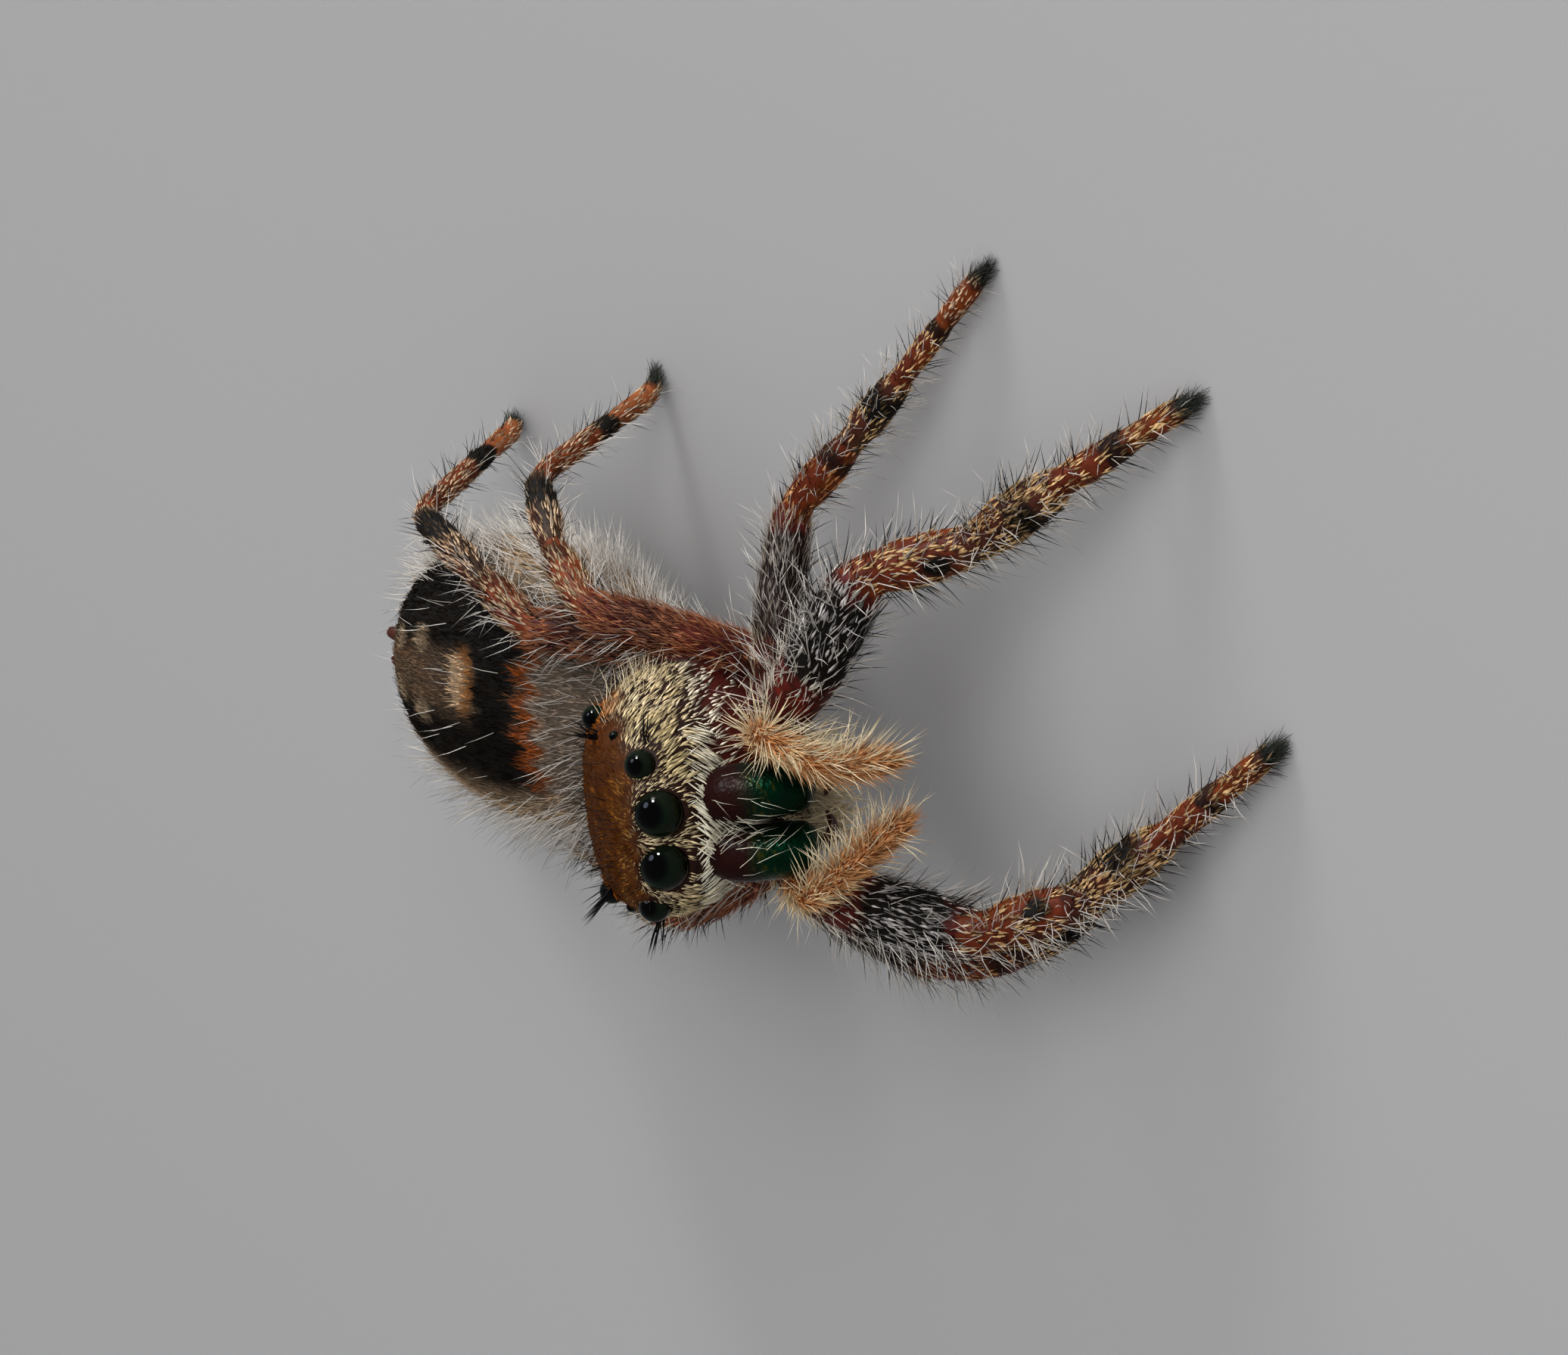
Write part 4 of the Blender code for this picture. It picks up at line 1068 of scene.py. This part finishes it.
def laid_tufts():
    """A tree that grows tufts on a skin along its lie, each with its place on the skin's map."""
    made = Nodes(bpy.data.node_groups.new("laid_tufts", "GeometryNodeTree"))
    entries = {"Skin": made.entry("Skin", "NodeSocketGeometry")}
    for name, value in (("Density", 50.0), ("Length", 0.2), ("Length Spread", 0.3), ("Lift", 0.3),
                        ("Lift Spread", 0.15), ("Sweep", 0.3), ("Roll", 0.5), ("Depth", HAIR_DEPTH)):
        entries[name] = made.entry(name, "NodeSocketFloat", value)
    entries["Growth"] = made.entry("Growth", "NodeSocketString", "scales")
    entries["Seed"] = made.entry("Seed", "NodeSocketInt", 1)
    entries["Tuft"] = made.entry("Tuft", "NodeSocketObject")
    entries["Material"] = made.entry("Material", "NodeSocketMaterial")
    made.entry("Tufts", "NodeSocketGeometry", in_out="OUTPUT")
    given = {socket.name: socket for socket in made.add("NodeGroupInput").node.outputs}

    def attribute(name, kind):
        return made.add("GeometryNodeInputNamedAttribute", {"Name": name}, "Attribute", data_type=kind)

    def chance(least, most, offset):
        seed = made.math("ADD", given["Seed"], float(offset))
        return made.add("FunctionNodeRandomValue", {"Min": least, "Max": most, "Seed": seed}, "Value",
                        data_type="FLOAT")

    def stored(geometry, name, value, kind, domain):
        return made.add("GeometryNodeStoreNamedAttribute",
                        {"Geometry": geometry, "Name": name, "Value": value}, data_type=kind, domain=domain)

    def swung(entry, offset):
        return made.math("MULTIPLY", given[entry], chance(-1.0, 1.0, offset))

    thick = made.math("MULTIPLY", given["Density"], attribute(given["Growth"], "FLOAT"))
    roots = made.add("GeometryNodeDistributePointsOnFaces",
                     {"Mesh": given["Skin"], "Density": thick, "Seed": given["Seed"]},
                     "Points", distribute_method="RANDOM")
    kept = stored(roots, "facing", socket_of(roots.node.outputs, "Normal"), "FLOAT_VECTOR", "POINT")
    shaded = stored(kept, "tuft_shade", chance(0.0, 1.0, 11), "FLOAT", "POINT")
    facing, lie = attribute("facing", "FLOAT_VECTOR"), attribute("lie", "FLOAT_VECTOR")
    raised = made.scaled(facing, made.vector("DOT_PRODUCT", lie, facing, output="Value"))
    flat = made.vector("NORMALIZE", made.vector("SUBTRACT", lie, raised))
    swept = made.add("ShaderNodeVectorRotate", {"Vector": flat, "Axis": facing, "Angle": swung("Sweep", 3)},
                     rotation_type="AXIS_ANGLE")
    lift = made.math("ADD", given["Lift"], swung("Lift Spread", 5))
    grow = made.vector("ADD", made.scaled(swept, made.math("COSINE", lift)),
                       made.scaled(facing, made.math("SINE", lift)))
    stand = made.add("FunctionNodeAlignRotationToVector", {"Vector": grow}, axis="Z")
    face_out = made.add("FunctionNodeAlignRotationToVector", {"Rotation": stand, "Vector": facing},
                        axis="X", pivot_axis="Z")
    roll = made.add("FunctionNodeAxisAngleToRotation", {"Axis": (0.0, 0.0, 1.0), "Angle": swung("Roll", 7)})
    rolled = made.add("FunctionNodeRotateRotation", {"Rotation": face_out, "Rotate By": roll},
                      rotation_space="LOCAL")
    varied = made.math("MULTIPLY", given["Length"], made.math("ADD", 1.0, swung("Length Spread", 9)))
    length = made.math("MULTIPLY", attribute("reach", "FLOAT"), varied)
    sunk = made.add("GeometryNodeSetPosition",
                    {"Geometry": shaded,
                     "Offset": made.scaled(facing, made.math("MULTIPLY", given["Depth"], -1.0))})
    shape = made.add("GeometryNodeObjectInfo", {"Object": given["Tuft"]}, "Geometry",
                     transform_space="ORIGINAL")
    placed = made.add("GeometryNodeInstanceOnPoints",
                      {"Points": sunk, "Instance": shape, "Rotation": rolled, "Scale": length})
    real = made.add("GeometryNodeRealizeInstances", {"Geometry": placed})
    leaf = made.vector("SUBTRACT", attribute("leaf", "FLOAT_VECTOR"), (0.5, 0.5, 0.0))
    patch = made.vector("ADD", attribute("place", "FLOAT_VECTOR"), made.scaled(leaf, TUFT_PATCH))
    mapped = stored(real, "OFBake", patch, "FLOAT2", "CORNER")
    dressed = made.add("GeometryNodeSetMaterial", {"Geometry": mapped, "Material": given["Material"]})
    made.add("NodeGroupOutput", {"Tufts": dressed})
    return made.tree, entries


def drop_attributes(mesh, names):
    for name in names:
        if name in mesh.attributes:
            mesh.attributes.remove(mesh.attributes[name])


def part_of(skin, owner, names, kinds):
    """The skin's faces that belong to some of its parts, as a mesh to grow hair on."""
    wanted = np.array([name.startswith(kinds) for name in names])[owner]
    mesh = skin.copy()
    bm = bmesh.new()
    bm.from_mesh(mesh)
    bm.verts.ensure_lookup_table()
    drop = [face for face in bm.faces if not wanted[face.verts[0].index]]
    bmesh.ops.delete(bm, geom=drop, context="FACES")
    bm.to_mesh(mesh)
    bm.free()
    return mesh


def grow_coats(coats, beds, looks, tufts, tree, entries):
    """Pieces of tufts grown on their beds and made plain, as the table of coats says."""
    for name, bed, look, growth, shape, *measures, seed in coats:
        carrier = added(name, beds[bed])
        modifier = carrier.modifiers.new("tufts", "NODES")
        modifier.node_group = tree
        for entry, value in zip(MEASURES, measures):
            modifier[entries[entry]] = float(value)
        modifier[entries["Depth"]] = SCALE_DEPTH if shape.endswith("scale") else HAIR_DEPTH
        modifier[entries["Growth"]] = growth
        modifier[entries["Seed"]] = seed
        modifier[entries["Tuft"]] = tufts[shape]
        modifier[entries["Material"]] = looks[look]
        mesh = plain_mesh(carrier)
        mesh.name = name
        carrier.modifiers.remove(modifier)
        carrier.data = mesh
        drop_attributes(mesh, [attribute.name for attribute in mesh.attributes if not attribute.is_internal
                               and not attribute.is_required and attribute.name not in KEPT_ON_TUFTS])
        finish_piece(carrier, looks[look], "body_fur")


# ------------------------------------------------------------------------------------------
# Materials
# ------------------------------------------------------------------------------------------
def fresh_material(name):
    """A material, its nodes and its shader."""
    material = bpy.data.materials.new(name)
    material.use_nodes = True
    return material, Nodes(material.node_tree), material.node_tree.nodes["Principled BSDF"]


def fine_grain():
    """Shared relief of cuticle: fine wrinkles and pits, as a height from 0 to 1."""
    made = Nodes(bpy.data.node_groups.new("fine_grain", "ShaderNodeTree"))
    made.entry("Size", "NodeSocketFloat", 9000.0)
    made.entry("Height", "NodeSocketFloat", in_out="OUTPUT")
    size = made.add("NodeGroupInput", output="Size")
    wrinkles = made.noise(size, Detail=3.0)
    place = made.add("ShaderNodeTexCoord", output="Object")
    pits = made.add("ShaderNodeTexVoronoi", {"Vector": place, "Scale": size}, "Distance")
    made.add("NodeGroupOutput", {"Height": made.math("MULTIPLY_ADD", pits, 0.5, wrinkles)})
    return made.tree


def skin_material(grain):
    """Cuticle under the coat: its own tones, glossy where it is bare."""
    material, nodes, shader = fresh_material("spider_skin")
    speckle = nodes.shade(nodes.noise(7000.0, Detail=2.0), 0.65, 1.25, From_Min=0.3, From_Max=0.7)
    nodes.fill(shader, {
        "Base Color": nodes.scaled(nodes.attribute("hide_tone", "Color"), speckle),
        "Roughness": nodes.shade(nodes.attribute("gloss", "Fac"), 0.75, 0.20),
        "Normal": nodes.relief(grain, 11000.0, 0.35, 0.00002),
        "Specular IOR Level": 0.06,
    })
    return material


def hair_material(name, roughness, specular, contrast, tint):
    """Hairs in the coat's tone or in one tint, each hair a little lighter or darker."""
    material, nodes, shader = fresh_material(name)
    if tint:
        tone = nodes.add("ShaderNodeRGB")
        tone.default_value = (*tint, 1.0)
    else:
        tone = nodes.attribute("coat_tone", "Color")
    own = nodes.shade(nodes.attribute("tuft_shade", "Fac"), 1 - contrast, 1 + contrast * 0.7)
    nodes.fill(shader, {"Base Color": nodes.scaled(tone, own), "Roughness": roughness,
                        "Specular IOR Level": specular})
    return material


def eye_material():
    """Black lens with a dark green depth; the black is painted shade of the eye's dark inside."""
    material, nodes, shader = fresh_material("eye_lens")
    green = nodes.mix(nodes.noise(2600.0, Detail=1.0), (0.0010, 0.0085, 0.0050), (0.0075, 0.0080, 0.0025))
    nodes.fill(shader, {
        "Base Color": nodes.mix(nodes.attribute("depth", "Fac"), green, (0.0004, 0.0004, 0.0006)),
        "Roughness": 0.035, "Specular IOR Level": 0.07,
    })
    return material


def jaw_material(grain):
    """Maroon jaw bases that pass into metallic green-black, pitted so that it glints; the tone also holds
    painted gold-green glint speckles.
    """
    material, nodes, shader = fresh_material("jaw_chitin")
    nodes.fill(shader, {
        "Base Color": nodes.attribute("hide_tone", "Color"), "Metallic": nodes.attribute("gloss", "Fac"),
        "Normal": nodes.relief(grain, 14000.0, 0.9, 0.00002), "Roughness": 0.30,
        "Specular IOR Level": 0.02,
    })
    return material


def fang_material(grain):
    """Smooth dark red-brown of the fangs."""
    material, nodes, shader = fresh_material("fang_chitin")
    nodes.fill(shader, {
        "Base Color": nodes.mix(nodes.noise(4000.0), (0.012, 0.004, 0.003), (0.045, 0.010, 0.006)),
        "Normal": nodes.relief(grain, 8000.0, 0.1, 0.00001), "Roughness": 0.18,
    })
    return material


def floor_material():
    material, nodes, shader = fresh_material("pale_floor")
    nodes.fill(shader, {
        "Base Color": nodes.mix(nodes.noise(6.0, Detail=1.0), (0.425, 0.42, 0.42), (0.45, 0.445, 0.45)),
        "Roughness": 0.9, "Specular IOR Level": 0.1,
    })
    return material


# ------------------------------------------------------------------------------------------
# Hard parts
# ------------------------------------------------------------------------------------------
def build_eyes(material):
    """Each lens is a whole ball; its depth says where it is black: painted shade of the eye's dark inside,
    facing one fixed way, and on the hidden back.
    """
    for (kind, (x, y, z, radius)), (side, word) in itertools.product(EYES.items(), SIDES):
        mesh = mesh_of("lens", [lofted(ball_rings((side * x, y, z), (radius,) * 3, rows=32, sides=48))])
        # Painted shade: the lens is black where it faces EYE_GAZE, for the dark inside of the eye seen
        # through it
        inward = normals_of(mesh) @ body_turn @ unit(np.array(EYE_GAZE))
        keep(mesh, "depth", "FLOAT", np.maximum(eased(0.72, 0.90, inward), 1 - eased(0.0, 0.45, inward)))
        finish_piece(added(f"lens_{kind}_{word}", mesh), material, "eye", f"{kind}_{word}")


def build_jaws():
    """The two jaws, dressed for the hairs that grow on them."""
    jaws = []
    for side, word in SIDES:
        mesh = mesh_of("jaw", [lofted(jaw_rings(side))])
        place, facing = in_body(points_of(mesh)), normals_of(mesh) @ body_turn
        z = place[:, 2]
        green = 1 - eased(-0.50, 0.10, z + 0.15 * (mottle(place, 0.3, 12) - 0.5))
        inner = eased(-0.2, 0.7, -side * facing[:, 0])
        coat = fresh_coat(len(z))
        coat["hide_tone"] = painted(
            JAW_MAROON, place, (JAW_GREEN, green),
            # painted glints: gold-green speckles on the upper green
            (JAW_GLINT_SPECKLE, 0.8 * green * eased(0.66, 0.86, mottle(place, 0.05, 13)) * (z > -0.7)),
            (JAW_DARK_GREEN, 0.7 * eased(0.4, 0.8, mottle(place, 0.25, 14)) * green))
        coat["gloss"] = 0.75 * green
        coat["fringe"] = (eased(-0.1, 0.5, -facing[:, 1]) * (0.15 + 0.85 * eased(-0.6, 0.2, z))
                          * (0.15 + inner ** 2) * eased(-1.25, -1.0, z))
        coat["lie"][:] = turned((-side * 0.45, -0.12, -1.0))
        height = z[numbers(mesh.loops, "vertex_index", kind=np.int32)]
        wear(mesh, coat, np.stack([np.full(len(height), 0.4 + 0.3 * side), 0.5 + 0.3 * height], 1))
        jaws.append(added(f"jaw_{word}", mesh))
    return jaws


def build_fangs(material):
    for side, word in SIDES:
        joints = in_world([mirrored(point, side) for point in FANG])
        stations = [(i, 0.0, radius) for i, radius in enumerate(FANG_RADII[:-1])] + [(2, 1.0, FANG_RADII[-1])]
        claw = Limb(f"fang_{word}", joints, stations, FANG_ROUNDING, 0.0, step=0.02)
        fang = added(f"claw_fang_{word}", mesh_of("fang", [lofted(claw.rings(sides=18))]))
        finish_piece(fang, material, "fang", f"fang_{word}")


# ------------------------------------------------------------------------------------------
# Camera, lights and floor
# ------------------------------------------------------------------------------------------
VIEW_TURN = math.radians(25.9)
VIEW_RISE = math.radians(33.3)
VIEW_ROLL = math.radians(23.4)
VIEW_DISTANCE = 149.5
VIEW_TARGET = np.array((0.0, 0.0, 2.875))
VIEW_ASIDE = (1.42, -0.72)       # moves the frame along its own two axes
LENS = 201.9
SENSOR_WIDTH = 36.0
NEAR_CLIP, FAR_CLIP = 0.005, 10.0
FLOOR_SIZE = 2.0
SKY = (0.95, 0.97, 1.0, 1.0)
SKY_STRENGTH = 0.33
WHITE_LIGHT = (1.0, 1.0, 1.0)
BLUE_LIGHT = (0.70, 0.78, 1.0)

back = heading(VIEW_TURN, VIEW_RISE)
level = np.array((math.cos(VIEW_TURN), math.sin(VIEW_TURN), 0.0))
steep = np.cross(back, level)
sideways = level * math.cos(VIEW_ROLL) - steep * math.sin(VIEW_ROLL)
upwards = steep * math.cos(VIEW_ROLL) + level * math.sin(VIEW_ROLL)


def view_direction(right, up, near):
    """A direction given as right, up and towards the viewer, as the camera sees them."""
    return -upwards * right + sideways * up + back * near


NO_GLOSS, NO_DIFFUSE = "visible_glossy", "visible_diffuse"      # switches of the light's object
# Lights: name, direction, distance, size, radiance, the switch that is off, and colour
LIGHTS = (
    ("overhead", np.array((0.1, 0.0, 1.0)), 0.40, 0.60, 0.50, NO_GLOSS, WHITE_LIGHT),
    ("fill", view_direction(-0.40, 0.82, 0.41) + (0.0, 0.0, 0.6), 0.30, 0.26, 0.8, NO_GLOSS, WHITE_LIGHT),
    ("key", view_direction(-0.377, 0.853, 0.345), 0.25, 0.065, 30.0, None, WHITE_LIGHT),
    ("front", view_direction(-0.2, 0.3, 1.0), 0.35, 0.20, 4.5, NO_GLOSS, WHITE_LIGHT),
    ("glint", view_direction(-0.39, 0.74, 0.52), 0.25, 0.042, 320.0, NO_DIFFUSE, WHITE_LIGHT),
    ("sheen", view_direction(-0.82, 0.44, 0.35), 0.25, 0.10, 14.0, NO_DIFFUSE, BLUE_LIGHT),
)


def set_camera():
    """Looks at the face, turned so that the floor's pull is towards the right of the frame."""
    camera = bpy.data.cameras.new("view")
    camera.lens = LENS
    camera.sensor_width = SENSOR_WIDTH
    camera.clip_start = NEAR_CLIP
    camera.clip_end = FAR_CLIP
    eye = added("view", camera)
    place = VIEW_TARGET + back * VIEW_DISTANCE + sideways * VIEW_ASIDE[0] + upwards * VIEW_ASIDE[1] + SHIFT
    turn = Matrix([(-upwards[i], sideways[i], back[i]) for i in range(3)])
    eye.matrix_world = Matrix.Translation(Vector(place * MM)) @ turn.to_4x4()
    bpy.context.scene.camera = eye


def set_light():
    """An even sky and round soft lights that face the spider; radiance is how bright each surface is."""
    world = bpy.data.worlds.new("studio")
    bpy.context.scene.world = world
    world.use_nodes = True
    shade = world.node_tree.nodes["Background"]
    shade.inputs["Color"].default_value = SKY
    shade.inputs["Strength"].default_value = SKY_STRENGTH
    for name, direction, distance, size, radiance, switch, colour in LIGHTS:
        light = bpy.data.lights.new(name, "AREA")
        light.shape = "DISK"
        light.size = size
        light.energy = radiance * math.pi * (math.pi * size * size / 4)
        light.color = colour
        lamp = added(name, light)
        if switch:
            setattr(lamp, switch, False)
        direction = Vector(unit(direction))
        lamp.location = direction * distance
        lamp.rotation_mode = "QUATERNION"
        lamp.rotation_quaternion = direction.to_track_quat("Z", "Y")
    bpy.context.scene.view_settings.view_transform = "Standard"


def lay_floor():
    """Plain pale floor under the feet."""
    half = FLOOR_SIZE / 2
    mesh = bpy.data.meshes.new("floor")
    corners = [(-half, -half, 0), (half, -half, 0), (half, half, 0), (-half, half, 0)]
    mesh.from_pydata(corners, [], [(0, 1, 2, 3)])
    mesh.materials.append(floor_material())
    added("floor", mesh)


# ------------------------------------------------------------------------------------------
def main():
    set_camera()
    set_light()
    lay_floor()
    grain = fine_grain()
    skin, names, owner, limbs = build_skin()
    place = unwrap(skin, names, owner, limbs)
    wear(skin, dress(skin, names, owner, limbs), place)
    jaws = build_jaws()
    tree, entries = laid_tufts()
    tufts = {name: tuft(name, *shape) for name, *shape in TUFTS}
    looks = {name: hair_material(name, *look) for name, *look in HAIR_LOOKS}
    beds = {bed: part_of(skin, owner, names, kinds) for bed, kinds in BEDS.items()}
    grow_coats(COATS, beds, looks, tufts, tree, entries)

    skin.uv_layers.new(name="OFBake").data.foreach_set("uv", place.ravel())
    drop_attributes(skin, DROPPED_FROM_SKIN)
    finish_piece(added("skin", skin), skin_material(grain), "body_fur", *names)
    grow_coats(JAW_COATS, {jaw.name: jaw.data.copy() for jaw in jaws}, looks, tufts, tree, entries)
    chitin = jaw_material(grain)
    for jaw, (_, word) in zip(jaws, SIDES):
        drop_attributes(jaw.data, DROPPED_FROM_SKIN)
        finish_piece(jaw, chitin, "jaw", f"chelicera_{word}")
    build_eyes(eye_material())
    build_fangs(fang_material(grain))
    for shape in tufts.values():
        bpy.data.objects.remove(shape)


main()
